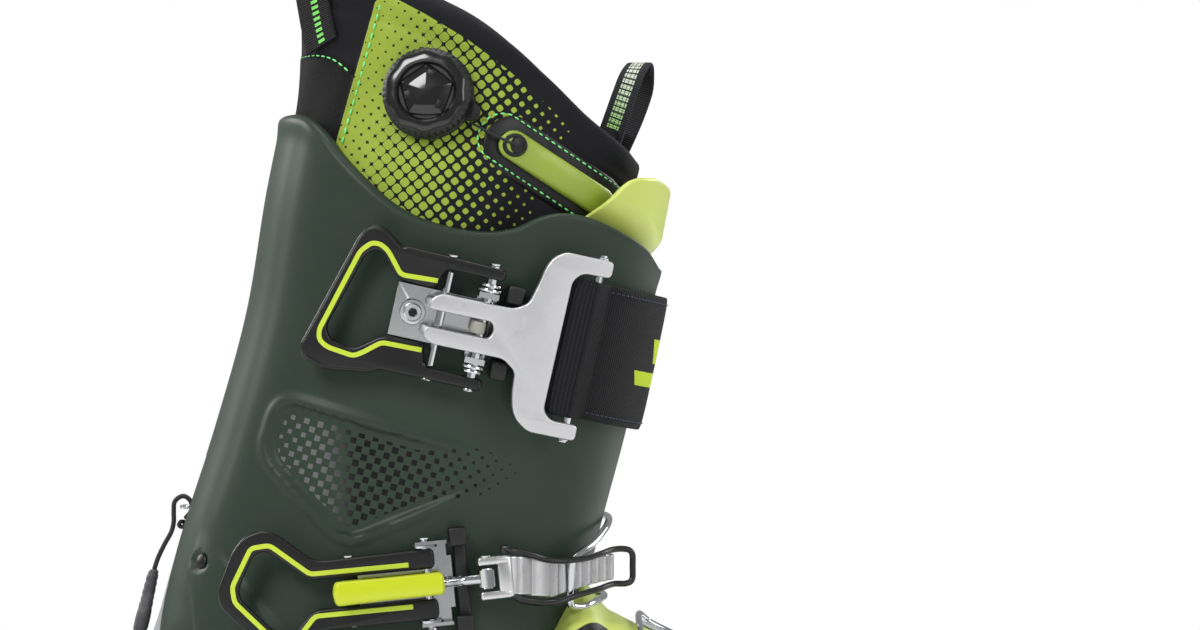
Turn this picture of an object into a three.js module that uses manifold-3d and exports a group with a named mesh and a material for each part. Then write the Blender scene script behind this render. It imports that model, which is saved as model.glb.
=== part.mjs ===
// A right-foot alpine touring ski boot, in millimetres.
// +X points to the toe, +Z up, and -Y to the outer side, where the buckle levers are.
// The boot is laid out from the heel's datum plane, and the last lines shift it so that the
// origin is the bottom centre of its box.
import * as THREE from "three";
import { mergeVertices } from "three/addons/utils/BufferGeometryUtils.js";
import Module from "manifold-3d";

const wasm = await Module();
wasm.setup();

// ---- Driving dimensions ------------------------------------------------------------------
const DEG = Math.PI / 180;
const PIVOT = { x: 78, z: 105, side: 45 }; // the cuff's hinge axis, and half the ankle's width
const SHELL_WALL = 4.2;
const FIT_GAP = 0.9; // between shells that slide on each other
const CLEAR = 0.4; // between fixed neighbours
const CUFF_POWER = 2.4; // roundness of the cuff's cross-section
const FOOT_POWER = 2.5;
const STRAP_HALF = 24.5; // half the upper strap's width
const DIAL = { x: 98.6, z: 316, radius: 16, height: 11 };

// Cuff: height, rear and front in side view, half width.
const CUFF = [
  [80, 2.5, 148, 50.6],
  [105, 1.2, 149, 50.4],
  [130, 1.8, 151, 49.6],
  [160, 8.6, 157, 49.6],
  [200, 21.3, 167.5, 52.5],
  [240, 32.3, 176.2, 55.5],
  [280, 39, 184, 57],
  [320, 46, 191, 57.5],
  [370, 46.5, 199, 57.5],
];
// Upper and lower edge of the cuff as height over X.
const CUFF_TOP = [
  [40, 306],
  [44.5, 309.6],
  [53, 309.2],
  [60, 304],
  [67, 295.5],
  [76, 286.5],
  [87, 277.6],
  [99, 272],
  [116, 268.6],
  [128, 269.6],
  [137, 273.4],
  [145, 275],
  [155, 273.6],
  [165, 269.3],
  [174, 263.5],
  [179, 256],
];
const CUFF_BOTTOM = [
  [0, 101],
  [25, 93],
  [55, 85],
  [92, 85],
  [115, 97],
  [135, 118],
  [147, 135],
  [153, 148],
];
// Foot shell: X, centre, half width, bottom and top.
const FOOT = [
  [9, 0, 17, 32, 60],
  [14, 0, 27, 23, 70],
  [28, 0, 35, 16, 86],
  [50, 0, 39.5, 14, 98],
  [80, 0, 42, 16, 104],
  [110, 0, 42.5, 20, 114],
  [138, -1, 45, 22, 128],
  [155, -1, 47.5, 21, 133],
  [170, -1, 49.8, 19, 127],
  [190, 0, 52.5, 16, 117.5],
  [215, 1, 54, 14, 107],
  [240, 3, 53, 14, 98],
  [262, 5, 48.5, 15, 89.5],
  [280, 6, 41, 17, 80],
  [292, 7, 31, 21, 69],
  [299, 7.5, 18, 28, 56],
];
// Half width of the round ankle over the distance from the cuff's hinge axis.
const ANKLE = [
  [30, 44.6],
  [45, 38.5],
  [56, 32],
  [64, 23.5],
  [69, 13],
];
const ANKLE_RADIUS = 71;
// Rim of the liner as height over X.
const LINER_TOP = [
  [48, 366],
  [60, 364],
  [80, 358],
  [100, 350],
  [114, 343.5],
  [127, 335],
  [140, 324],
  [152, 312],
  [166, 300],
  [176, 288],
];

// ---- Small tools -------------------------------------------------------------------------
const smooth = (a, b, x) => {
  const t = Math.min(1, Math.max(0, (x - a) / (b - a)));
  return t * t * (3 - 2 * t);
};
const signedPower = (value, power) => Math.sign(value) * Math.abs(value) ** power;

// A smooth curve through a table's rows, read at x in the given column.
function read(table, x, column = 1) {
  const last = table.length - 1;
  if (x <= table[0][0]) return table[0][column];
  if (x >= table[last][0]) return table[last][column];
  let i = 0;
  while (x > table[i + 1][0]) i += 1;
  const slope = (k) => {
    const a = table[Math.max(0, k - 1)];
    const b = table[Math.min(last, k + 1)];
    return (b[column] - a[column]) / (b[0] - a[0]);
  };
  const [p, q] = [table[i], table[i + 1]];
  const span = q[0] - p[0];
  const t = (x - p[0]) / span;
  const [t2, t3] = [t * t, t * t * t];
  return (
    (2 * t3 - 3 * t2 + 1) * p[column] +
    (t3 - 2 * t2 + t) * span * slope(i) +
    (3 * t2 - 2 * t3) * q[column] +
    (t3 - t2) * span * slope(i + 1)
  );
}

// An indexed geometry with its faces turned outwards.
function indexed(points, faces) {
  let volume = 0;
  const at = (i) => points[i];
  for (const [a, b, c] of faces) {
    const [p, q, r] = [at(a), at(b), at(c)];
    volume += p.dot(new THREE.Vector3().crossVectors(q, r));
  }
  const flat = faces.flatMap(([a, b, c]) => (volume < 0 ? [a, c, b] : [a, b, c]));
  const geometry = new THREE.BufferGeometry().setFromPoints(points);
  geometry.setIndex(flat);
  return geometry;
}

// A wall between two faces of a grid. place(u, v, side) gives a point, with side 0 the inner
// face and 1 the outer; wrap joins the grid's first and last columns.
function wall(place, nu, nv, wrap = false) {
  const columns = wrap ? nu : nu + 1;
  const points = [];
  for (const side of [0, 1])
    for (let i = 0; i < columns; i += 1)
      for (let j = 0; j <= nv; j += 1) points.push(place(i / nu, j / nv, side));
  const at = (i, j, side) => side * columns * (nv + 1) + (i % columns) * (nv + 1) + j;
  const faces = [];
  const quad = (a, b, c, d) => faces.push([a, b, c], [a, c, d]);
  for (let i = 0; i < nu; i += 1) {
    for (let j = 0; j < nv; j += 1) {
      quad(at(i, j, 1), at(i + 1, j, 1), at(i + 1, j + 1, 1), at(i, j + 1, 1));
      quad(at(i, j, 0), at(i, j + 1, 0), at(i + 1, j + 1, 0), at(i + 1, j, 0));
    }
    quad(at(i, 0, 0), at(i + 1, 0, 0), at(i + 1, 0, 1), at(i, 0, 1));
    quad(at(i, nv, 1), at(i + 1, nv, 1), at(i + 1, nv, 0), at(i, nv, 0));
  }
  if (!wrap)
    for (let j = 0; j < nv; j += 1) {
      quad(at(0, j, 1), at(0, j + 1, 1), at(0, j + 1, 0), at(0, j, 0));
      quad(at(nu, j, 0), at(nu, j + 1, 0), at(nu, j + 1, 1), at(nu, j, 1));
    }
  return indexed(points, faces);
}

// A solid through a row of rings, closed by a fan at each end.
function loft(rings) {
  const n = rings[0].length;
  const points = rings.flat();
  const faces = [];
  for (let i = 0; i + 1 < rings.length; i += 1)
    for (let j = 0; j < n; j += 1) {
      const [a, b] = [i * n + j, i * n + ((j + 1) % n)];
      faces.push([a, b, b + n], [a, b + n, a + n]);
    }
  for (const [ring, first] of [
    [rings[0], 0],
    [rings.at(-1), (rings.length - 1) * n],
  ]) {
    const middle = points.length;
    points.push(ring.reduce((s, p) => s.add(p), new THREE.Vector3()).divideScalar(n));
    for (let j = 0; j < n; j += 1) {
      const [a, b] = [first + j, first + ((j + 1) % n)];
      faces.push(first ? [a, b, middle] : [b, a, middle]);
    }
  }
  return indexed(points, faces);
}

// Booleans.
function solid(geometry) {
  const bare = geometry.index ? geometry.toNonIndexed() : geometry.clone();
  for (const name of Object.keys(bare.attributes))
    if (name !== "position") bare.deleteAttribute(name);
  const merged = mergeVertices(bare, 1e-4);
  return new wasm.Manifold(
    new wasm.Mesh({
      numProp: 3,
      vertProperties: new Float32Array(merged.attributes.position.array),
      triVerts: new Uint32Array(merged.index.array),
    }),
  );
}
function geometryOf(manifold) {
  const mesh = manifold.getMesh();
  const geometry = new THREE.BufferGeometry();
  geometry.setAttribute("position", new THREE.BufferAttribute(mesh.vertProperties, 3));
  geometry.setIndex(new THREE.BufferAttribute(mesh.triVerts, 1));
  return geometry;
}
const joined = (...parts) => geometryOf(parts.map(solid).reduce((a, b) => a.add(b)));
const common = (a, b) => geometryOf(solid(a).intersect(solid(b)));
// The main body of a cut that also leaves slivers.
function mainBody(geometry) {
  const bodies = solid(geometry).decompose();
  return geometryOf(bodies.reduce((a, b) => (a.volume() > b.volume() ? a : b)));
}
const cut = (body, ...tools) =>
  geometryOf(tools.map(solid).reduce((a, b) => a.subtract(b), solid(body)));

// A plate whose outline lies in the XZ plane, between two distances on the -Y side.
function plate(outline, near, far, hole = null) {
  const shape = new THREE.Shape(outline.map(([x, z]) => new THREE.Vector2(x, z)));
  if (hole) shape.holes.push(new THREE.Path(hole.map(([x, z]) => new THREE.Vector2(x, z))));
  const geometry = new THREE.ExtrudeGeometry(shape, { depth: far - near, bevelEnabled: false });
  return geometry.rotateX(90 * DEG).translate(0, -near, 0);
}
function box(x0, x1, y0, y1, z0, z1) {
  const geometry = new THREE.BoxGeometry(x1 - x0, y1 - y0, z1 - z0);
  return geometry.translate((x0 + x1) / 2, (y0 + y1) / 2, (z0 + z1) / 2);
}
// Bends the part of a plate beyond x = at inwards by an angle.
function folded(geometry, at, angle) {
  const points = geometry.attributes.position;
  for (let i = 0; i < points.count; i += 1) {
    const past = Math.max(0, at - points.getX(i));
    points.setY(i, points.getY(i) + past * Math.tan(angle));
  }
  return geometry;
}
// A round pin along X, Y or Z.
function pin(axis, at, from, to, radius, sides = 14) {
  const geometry = new THREE.CylinderGeometry(radius, radius, to - from, sides);
  geometry.translate(0, (from + to) / 2, 0);
  if (axis === "x") geometry.rotateZ(-90 * DEG).translate(0, at[0], at[1]);
  if (axis === "y") geometry.translate(at[0], 0, at[1]);
  if (axis === "z") geometry.rotateX(90 * DEG).translate(at[0], at[1], 0);
  return geometry;
}
// A round bar or cord along a smooth curve.
function tube(points, radius, steps, sides = 8) {
  const section = new THREE.Shape();
  for (let i = 0; i < sides; i += 1) {
    const a = (i / sides) * 2 * Math.PI;
    const [x, y] = [radius * Math.cos(a), radius * Math.sin(a)];
    if (i) section.lineTo(x, y);
    else section.moveTo(x, y);
  }
  const path = new THREE.CatmullRomCurve3(points.map((p) => new THREE.Vector3(...p)));
  return new THREE.ExtrudeGeometry(section, { steps, extrudePath: path, bevelEnabled: false });
}

const boot = new THREE.Group();
// Adds a named mesh to a group.
function add(parent, name, geometry, finish) {
  const material = new THREE.MeshStandardMaterial(finish);
  const mesh = new THREE.Mesh(geometry, material);
  mesh.name = name;
  parent.add(mesh);
  return mesh;
}
const GREEN = { color: 0x3a4a3d, roughness: 0.55, metalness: 0 };
const LIME = { color: 0xcbe04a, roughness: 0.45, metalness: 0 };
const BLACK = { color: 0x1c1c1e, roughness: 0.5, metalness: 0 };
const RUBBER = { color: 0x202020, roughness: 0.85, metalness: 0 };
const CLOTH = { color: 0x26262b, roughness: 0.9, metalness: 0 };
const STEEL = { color: 0xc4c8cf, roughness: 0.25, metalness: 1 };
const ALLOY = { color: 0xb9bbc0, roughness: 0.4, metalness: 1 };

// ---- Surfaces ----------------------------------------------------------------------------
// The cuff's surface at an angle round the leg (0 at the front, -90 degrees at the outer side),
// moved out by offset.
function cuffPoint(angle, z, offset = 0) {
  const [rear, front] = [read(CUFF, z, 1), read(CUFF, z, 2)];
  const reach = (front - rear) / 2 + offset;
  const across = read(CUFF, z, 3) + offset;
  const power = 2 / CUFF_POWER;
  return new THREE.Vector3(
    (rear + front) / 2 + reach * signedPower(Math.cos(angle), power),
    across * signedPower(Math.sin(angle), power),
    z,
  );
}
// Height of an edge that is drawn over X, at an angle round the cuff.
function edgeHeight(table, angle, start, offset = 0) {
  let z = start;
  for (let i = 0; i < 30; i += 1) z += 0.6 * (read(table, cuffPoint(angle, z, offset).x) - z);
  return z;
}
// A ring round the foot at x, moved out by offset and with its bottom raised by lift.
function footPoint(x, turn, offset = 0, lift = 0) {
  const [middle, half, low, top] = [1, 2, 3, 4].map((k) => read(FOOT, x, k));
  const [bottom, crown] = [low - offset + lift, top + offset];
  const power = 2 / FOOT_POWER;
  return new THREE.Vector3(
    x,
    middle + (half + offset) * signedPower(Math.sin(turn), power),
    (bottom + crown) / 2 + ((crown - bottom) / 2) * signedPower(Math.cos(turn), power),
  );
}
function footSolid(from, to, offset, lift = 0, sides = 28) {
  const stations = FOOT.map((row) => row[0]).filter((x) => x > from + 4 && x < to - 4);
  const rings = [from, ...stations, to].map((x) =>
    Array.from({ length: sides }, (_, i) => footPoint(x, (i / sides) * 2 * Math.PI, offset, lift)),
  );
  return loft(rings);
}
function ankleSolid(offset, segments = 36) {
  const reach = ANKLE_RADIUS + offset;
  const side = (row) => new THREE.Vector2(row[0] + offset * 0.7, row[1] + offset);
  const rim = ANKLE.map(side);
  const mirrored = rim.map((p) => new THREE.Vector2(p.x, -p.y)).reverse();
  const profile = [
    new THREE.Vector2(0, -rim[0].y),
    ...mirrored.reverse(),
    new THREE.Vector2(reach, 0),
    ...rim.slice().reverse(),
    new THREE.Vector2(0, rim[0].y),
  ];
  return new THREE.LatheGeometry(profile, segments).translate(PIVOT.x, 0, PIVOT.z);
}
// A prism across the whole width, from an outline in side view.
const across = (outline) => plate(outline, -90, 90);

// ---- Lower shell and sole ----------------------------------------------------------------
const SOLE_TOP = 13;
const TOE_BLOCK = { from: 214, to: 307, top: 33 };
const HEEL_BLOCK = { from: 5, to: 84, top: 36 };
// Everything above this line belongs to the cuff as it swings.
const CUFF_ZONE = [
  [98, 82],
  [114, 88],
  [136, 108],
  [150, 122.5],
  [161, 131.5],
  [168, 150],
  [168, 240],
  [-40, 240],
  [-40, 76],
  [10, 76],
  [30, 82],
];
const SHELL_RIM = [
  [-30, 110],
  [22, 110],
  [46, 130],
  [78, 144],
  [98, 139],
  [108, 122],
  [113, 106],
  [122, 112],
  [170, 160],
  [170, 240],
  [-30, 240],
];

// The sole's outline in plan between two X values, following the shell's edge.
function soleOutline(from, to, inset, wide) {
  const xs = Array.from({ length: 11 }, (_, i) => from + ((to - from) * i) / 10);
  const half = (x) => Math.min(read(FOOT, Math.min(x, 286), 2) - inset, wide(x));
  const middle = (x) => read(FOOT, Math.min(x, 292), 1);
  return [
    ...xs.map((x) => [x, middle(x) - half(x)]),
    ...xs.reverse().map((x) => [x, middle(x) + half(x)]),
  ];
}
function slab(outline, low, high) {
  const shape = new THREE.Shape(outline.map(([x, y]) => new THREE.Vector2(x, y)));
  return new THREE.ExtrudeGeometry(shape, { depth: high - low, bevelEnabled: false }).translate(
    0,
    0,
    low,
  );
}
const toeWidth = (x) => 34.5 - 10 * smooth(300, TOE_BLOCK.to + 4, x) + 20 * (1 - smooth(235, 285, x));
const heelWidth = (x) => 34.5 - 6 * (1 - smooth(HEEL_BLOCK.from - 2, 22, x));
const TOE_OUTLINE = soleOutline(TOE_BLOCK.from, TOE_BLOCK.to, 3, toeWidth);
const HEEL_OUTLINE = soleOutline(HEEL_BLOCK.from, HEEL_BLOCK.to, 1.5, heelWidth);
const TOE_INSERT = { x: 297, z: 21, radius: 4.6, depth: 5 };
const toeSide = (side) => read(FOOT, 286, 1) + side * (toeWidth(TOE_INSERT.x) - 0.3);

function lowerShell() {
  const outer = joined(
    cut(footSolid(9, 299, 0), across(CUFF_ZONE)),
    slab(TOE_OUTLINE, SOLE_TOP, TOE_BLOCK.top),
    slab(HEEL_OUTLINE, SOLE_TOP, HEEL_BLOCK.top),
    ankleSolid(0),
  );
  const hollow = joined(
    cut(footSolid(15, 294, -SHELL_WALL), across(CUFF_ZONE)),
    ankleSolid(-SHELL_WALL),
  );
  const throat = box(104, 206, -25, 25, 76, 240);
  const socket = (side) => {
    const y = toeSide(side);
    return pin("y", [TOE_INSERT.x, TOE_INSERT.z], y - 6, y + 6, TOE_INSERT.radius + CLEAR, 12);
  };
  const rim = across(SHELL_RIM);
  const bolt = pin("y", [PIVOT.x, PIVOT.z], -60, 60, 5.4, 16);
  const plateSeat = box(2, 8.4, -16, 16, 14, 36);
  return mainBody(cut(outer, hollow, throat, rim, socket(-1), socket(1), bolt, plateSeat));
}

// A rubber pad under the toe or heel, with cross grooves between its lugs.
function tread(outline, from, to, grooves) {
  const body = slab(outline, 0, SOLE_TOP - CLEAR);
  const slots = Array.from({ length: grooves }, (_, i) => {
    const x = from + ((i + 1) * (to - from)) / (grooves + 1);
    return box(x - 2.2, x + 2.2, -80, 80, -1, 5.5);
  });
  const channel = box(from - 2, to + 2, -3, 3, -1, 4);
  return cut(body, ...slots, channel);
}

function lowerBody() {
  const group = new THREE.Group();
  add(group, "lower_shell", lowerShell(), GREEN);
  const toeSole = cut(
    tread(TOE_OUTLINE, TOE_BLOCK.from, TOE_BLOCK.to, 7),
    new THREE.BoxGeometry(60, 120, 12).rotateY(-12 * DEG).translate(312, 0, -3.5),
  );
  add(group, "toe_sole", toeSole, RUBBER);
  add(group, "heel_sole", tread(HEEL_OUTLINE, HEEL_BLOCK.from, HEEL_BLOCK.to, 5), RUBBER);
  for (const [side, name] of [
    [-1, "toe_insert_outer"],
    [1, "toe_insert_inner"],
  ]) {
    const y = toeSide(side);
    const [a, b] = side < 0 ? [y, y + TOE_INSERT.depth] : [y - TOE_INSERT.depth, y];
    const body = pin("y", [TOE_INSERT.x, TOE_INSERT.z], a, b, TOE_INSERT.radius, 16);
    const dimple = new THREE.ConeGeometry(2.6, 4, 12).rotateZ(side < 0 ? 0 : Math.PI);
    dimple.translate(TOE_INSERT.x, y - side * 1.99, TOE_INSERT.z);
    add(group, name, cut(body, dimple), STEEL);
  }
  const slot = (y) => box(3, 7, y - 2, y + 2, 13, 22);
  const insert = cut(
    box(4.6, 7.9, -15, 15, 14.6, 35),
    slot(-7),
    slot(7),
    pin("x", [0, 29], 3, 9, 2.3),
  );
  add(group, "heel_insert", insert, STEEL);
  const screw = joined(pin("x", [0, 29], 4.2, 8.1, 1.9, 12), pin("x", [0, 29], 3, 4.3, 3.4, 12));
  add(group, "heel_insert_screw", screw, STEEL);
  const inside = box(19, 287, -60, 60, 0, 200);
  const board = common(footSolid(15, 294, -SHELL_WALL - CLEAR), inside);
  const boardTop = across([
    [0, 27],
    [60, 25],
    [110, 30],
    [160, 30],
    [215, 25],
    [300, 32],
    [300, 200],
    [0, 200],
  ]);
  add(group, "boot_board", cut(board, boardTop), BLACK);
  const bootie = cut(
    common(footSolid(15, 294, -SHELL_WALL - FIT_GAP), inside),
    footSolid(29, 281, -SHELL_WALL - FIT_GAP - 7.5, 10.5, 24),
    ankleSolid(-SHELL_WALL - FIT_GAP - 7.5),
    across([
      [-20, 97],
      [106, 97],
      [109, 84],
      [136, 103],
      [150, 112],
      [163, 122],
      [170, 200],
      [-20, 200],
    ]),
    across([
      [0, 27.6],
      [60, 25.6],
      [110, 30.6],
      [160, 30.6],
      [215, 25.6],
      [300, 32.6],
      [300, 0],
      [0, 0],
    ]),
  );
  add(group, "liner_foot", bootie, CLOTH);
  add(group, "tongue_lower", lowerTongue(), LIME);
  for (const [side, name] of [
    [-1, "pivot_bolt_outer"],
    [1, "pivot_bolt_inner"],
  ]) {
    const turned = (from, to, radius, sides) =>
      pin(
        "y",
        [PIVOT.x, PIVOT.z],
        side * (side < 0 ? to : from),
        side * (side < 0 ? from : to),
        radius,
        sides,
      );
    const parts = [turned(39.4, 51, 5, 18), turned(50.8, 53, 9.5, 22), turned(38.4, 40, 7, 6)];
    add(group, name, joined(...parts), STEEL);
  }
  // Steel plate at the heel that the walk lever drops over.
  const reach = ankleSolid(4.4);
  const heelPatch = box(-6, 14, -5.5, 5.5, 92, 112);
  add(group, "lock_plate", cut(common(reach, heelPatch), ankleSolid(CLEAR)), STEEL);
  return group;
}

// The tongue's foot part: a curved cover over the instep opening.
function lowerTongue() {
  const place = (u, v, side) => {
    const x = 157 + 74 * u;
    const half = (33 - 8 * smooth(0.55, 1, u)) * DEG * 1.35;
    const narrow = 0.55 + 0.45 * smooth(0, 0.25, u);
    return footPoint(x, (2 * v - 1) * half * narrow, 0.5 + 2.8 * side);
  };
  return wall(place, 14, 12);
}

// ---- Cuff --------------------------------------------------------------------------------
const FLAP = { inner: -22 * DEG, outer: 388 * DEG };
const flapDepth = (angle) => -5.3 * (1 - smooth(38 * DEG, 78 * DEG, angle));

function cuffShell() {
  const place = (u, v, side) => {
    const angle = FLAP.inner + (FLAP.outer - FLAP.inner) * u;
    const offset = flapDepth(angle) - (side ? 0 : SHELL_WALL);
    const bottom = edgeHeight(CUFF_BOTTOM, angle, 100);
    const top = edgeHeight(CUFF_TOP, angle, 270);
    return cuffPoint(angle, bottom + (top - bottom) * v, offset);
  };
  const shell = wall(place, 66, 9);
  const hinge = pin("y", [PIVOT.x, PIVOT.z], -70, 70, 5.4, 20);
  const channel = box(-12, 32, -9.5, 9.5, 60, WALK.top);
  return cut(shell, ankleSolid(FIT_GAP), hinge, channel);
}

// The liner's shaft, with a slit down its front for the tongue.
const LINER_SLIT = 9 * DEG;
function linerPoint(angle, z, offset = 0) {
  const above = smooth(285, 325, z);
  const depth = SHELL_WALL + 1.2 + 10 * smooth(-0.08, 0.36, Math.cos(angle)) * (1 - 0.3 * above);
  const p = cuffPoint(angle, z, offset - depth);
  p.y *= 1 - 0.1 * above;
  return p;
}
function linerTop(angle) {
  let z = 330;
  for (let i = 0; i < 40; i += 1) z += 0.5 * (read(LINER_TOP, linerPoint(angle, z).x) - z);
  return z;
}
function linerShaft() {
  const place = (u, v, side) => {
    const angle = LINER_SLIT + (2 * Math.PI - 2 * LINER_SLIT) * u;
    const z = 150 + (linerTop(angle) - 150) * v;
    return linerPoint(angle, z, side ? 0 : -8);
  };
  return wall(place, 40, 9);
}
function linerTongue() {
  const place = (u, v, side) => {
    const angle = (2 * u - 1) * 34 * DEG;
    return linerPoint(angle, 152 + 162 * v, side ? -8.6 : -14.6);
  };
  return wall(place, 12, 8);
}
function upperTongue() {
  const place = (u, v, side) => {
    const t = 2 * u - 1;
    const angle = t * 62 * DEG;
    const rim = edgeHeight(CUFF_TOP, angle, 262);
    const top = 287 - 12 * smooth(0.55, 1, Math.abs(t)) ** 2;
    const z = 150 + (top - 150) * v;
    const flare = 8 * smooth(rim + 2.8, rim + 10, z);
    return cuffPoint(angle, z, -11.1 + flare - (side ? 0 : 2.4));
  };
  return wall(place, 18, 14);
}

// The band of the upper strap round the cuff: a plane square to the leg.
const STRAP_TILT = 12.5 * DEG;
const STRAP_AT = { x: 116.3, z: 235.5 };
function strapPoint(angle, across, offset) {
  let z = STRAP_AT.z;
  for (let i = 0; i < 12; i += 1) {
    const { x } = cuffPoint(angle, z, offset);
    z = STRAP_AT.z - (x - STRAP_AT.x) * Math.tan(STRAP_TILT) + across;
  }
  return cuffPoint(angle, z, offset);
}
const STRAP_SPLIT = 20 * DEG;
function strapPiece(from, to, lift) {
  const place = (u, v, side) => {
    const angle = from + (to - from) * u;
    return strapPoint(angle, (2 * v - 1) * STRAP_HALF, lift(angle) + 2 * side);
  };
  return wall(place, 12, 4);
}
const freeLift = (angle) => 3 + 2.4 * smooth(-20 * DEG, -52 * DEG, angle);

// ---- Walk lever --------------------------------------------------------------------------
const WALK = { x: 18.4, z: 184, top: 190 };
function walkBody() {
  const group = new THREE.Group();
  // The bar lies in the cuff's rear spine, and its foot stands clear of the round heel.
  const line = [
    [187, 0.4],
    [176, 0.4],
    [160, 0.4],
    [146, 0.2],
    [134, -0.6],
    [124, -3],
    [112, -4.2],
    [100, -4.2],
  ].map(([z, out]) => [read(CUFF, z, 1) + out, z]);
  const inner = line.map(([x, z]) => [x + 3.4, z]).reverse();
  const lever = cut(
    plate([...line, ...inner], -7, 7),
    pin("y", [WALK.x, WALK.z], -10, 10, 1.5, 14),
    box(-20, 30, -3.2, 3.2, 162, 178),
    box(-20, 30, -3, 3, 118, 150),
  );
  add(group, "walk_lever", lever, ALLOY);
  // Staple that the pull cord is looped on.
  const { x, z } = STAPLE;
  const staple = [
    [x + 2.3, -5.2, z],
    [x + 1.1, -5, z],
    [x + 0.1, -3.6, z],
    [x, 0, z],
    [x + 0.1, 3.6, z],
    [x + 1.1, 5, z],
    [x + 2.3, 5.2, z],
  ];
  const bar = tube(staple, 0.8, 20, 6);
  add(group, "walk_staple", bar, STEEL);
  add(group, "pull_cord", tube(CORD, CORD_RADIUS, 24), CLOTH);
  add(group, "cord_knot", new THREE.SphereGeometry(1.7, 10, 8).translate(...KNOT), CLOTH);
  add(group, "pull_tab", pullTab(), RUBBER);
  return group;
}
const STAPLE = { x: 9.6, z: 171.4 };
const CORD_RADIUS = 0.85;
const CORD = [
  [10.9, 0, 167.6],
  [12.6, 0, 169.9],
  [12.5, 0, 173.4],
  [9.8, 0, 175.2],
  [6.9, 0, 173.3],
  [6.5, 0, 169.4],
  [6.5, 0, 166],
  [5.6, 0, 162.4],
  [3.2, 0, 158],
  [1, 0, 153.4],
  [-0.3, 0, 149.6],
];
const KNOT = [9.4, 0, 165.2];
function pullTab() {
  const rings = [
    [149.2, 1.5],
    [148, 2],
    [138, 2.4],
    [130, 2.8],
    [127, 2.4],
    [125.6, 1.3],
  ].map(([z, radius]) =>
    Array.from({ length: 12 }, (_, i) => {
      const a = (i / 12) * 2 * Math.PI;
      const x = -0.5 - (149.2 - z) * 0.23;
      return new THREE.Vector3(x + radius * Math.cos(a), 1.15 * radius * Math.sin(a), z);
    }),
  );
  return loft(rings);
}

// ---- Upper buckle ------------------------------------------------------------------------
const HINGE_OUT = 7.75; // how far a lever's hinge stands off the shell
const HINGE_PIN = 1.75;
const LINK_PIN = 1.6;

// The outline of a lever with its window, hinge at the origin and handle towards -X.
const UPPER_LEVER = [
  [4.4, 17.4],
  [4.4, 21.5],
  [-28, 22],
  [-33, 23],
  [-40, 27.2],
  [-45, 26.8],
  [-49, 23.5],
  [-60.5, -19],
  [-58, -24],
  [-50.5, -26.1],
  [-35, -23.6],
  [-28, -21.4],
  [4.4, -21.4],
  [4.4, -17.4],
  [-16.8, -17.4],
  [-18.2, -9.8],
  [-32.6, -9.8],
  [-42, -16.8],
  [-50.5, -15.2],
  [-52.8, -11.5],
  [-45, 15.5],
  [-42, 18.4],
  [-38.8, 18.2],
  [-32, 10.6],
  [-18.2, 10],
  [-16.8, 17.4],
];
const TEE_LINK = [
  [-20.5, 3.2],
  [-20.5, 7],
  [-17, 9.2],
  [9, 9.2],
  [13.5, 12],
  [16.4, 24],
  [18.5, 29.5],
  [22.6, 32.2],
  [40, 32.2],
  [40, 26.4],
  [30, 26.2],
  [27, 23],
  [27, -23],
  [30, -26],
  [40, -26],
  [40, -31.6],
  [23, -31.6],
  [17, -27],
  [14.4, -21],
  [14, -12],
  [9, -8.6],
  [-17, -8.6],
  [-20.5, -6.6],
  [-20.5, -2.8],
  [2.4, -2.8],
  [3.6, 0.2],
  [2.4, 3.2],
];
// A frame on the outer side of a surface: +X along it and tilted, -Y out of it.
function seatOn(pointAt, x, z, tilt) {
  const here = pointAt(x, z);
  const along = pointAt(x + 0.5, z).sub(here);
  const up = pointAt(x, z + 0.5).sub(here);
  const inward = new THREE.Vector3().crossVectors(up, along).normalize();
  const xAxis = along.normalize().applyAxisAngle(inward, tilt);
  const zAxis = new THREE.Vector3().crossVectors(xAxis, inward);
  const group = new THREE.Group();
  group.applyMatrix4(new THREE.Matrix4().makeBasis(xAxis, inward, zAxis).setPosition(here));
  return group;
}
const frameAt = (x, z, tilt) => seatOn((a, b) => new THREE.Vector3(a, surfaceAt(a, b), b), x, z, tilt);
// Y of the cuff's outer side at X and Z.
function surfaceAt(x, z) {
  const [rear, front] = [read(CUFF, z, 1), read(CUFF, z, 2)];
  const t = Math.abs(x - (rear + front) / 2) / ((front - rear) / 2);
  return -read(CUFF, z, 3) * (1 - t ** CUFF_POWER) ** (1 / CUFF_POWER);
}
function turned(parent, name, x, y, turn) {
  const group = new THREE.Group();
  group.name = name;
  group.position.set(x, y, 0);
  group.rotation.z = turn;
  parent.add(group);
  return group;
}

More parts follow.
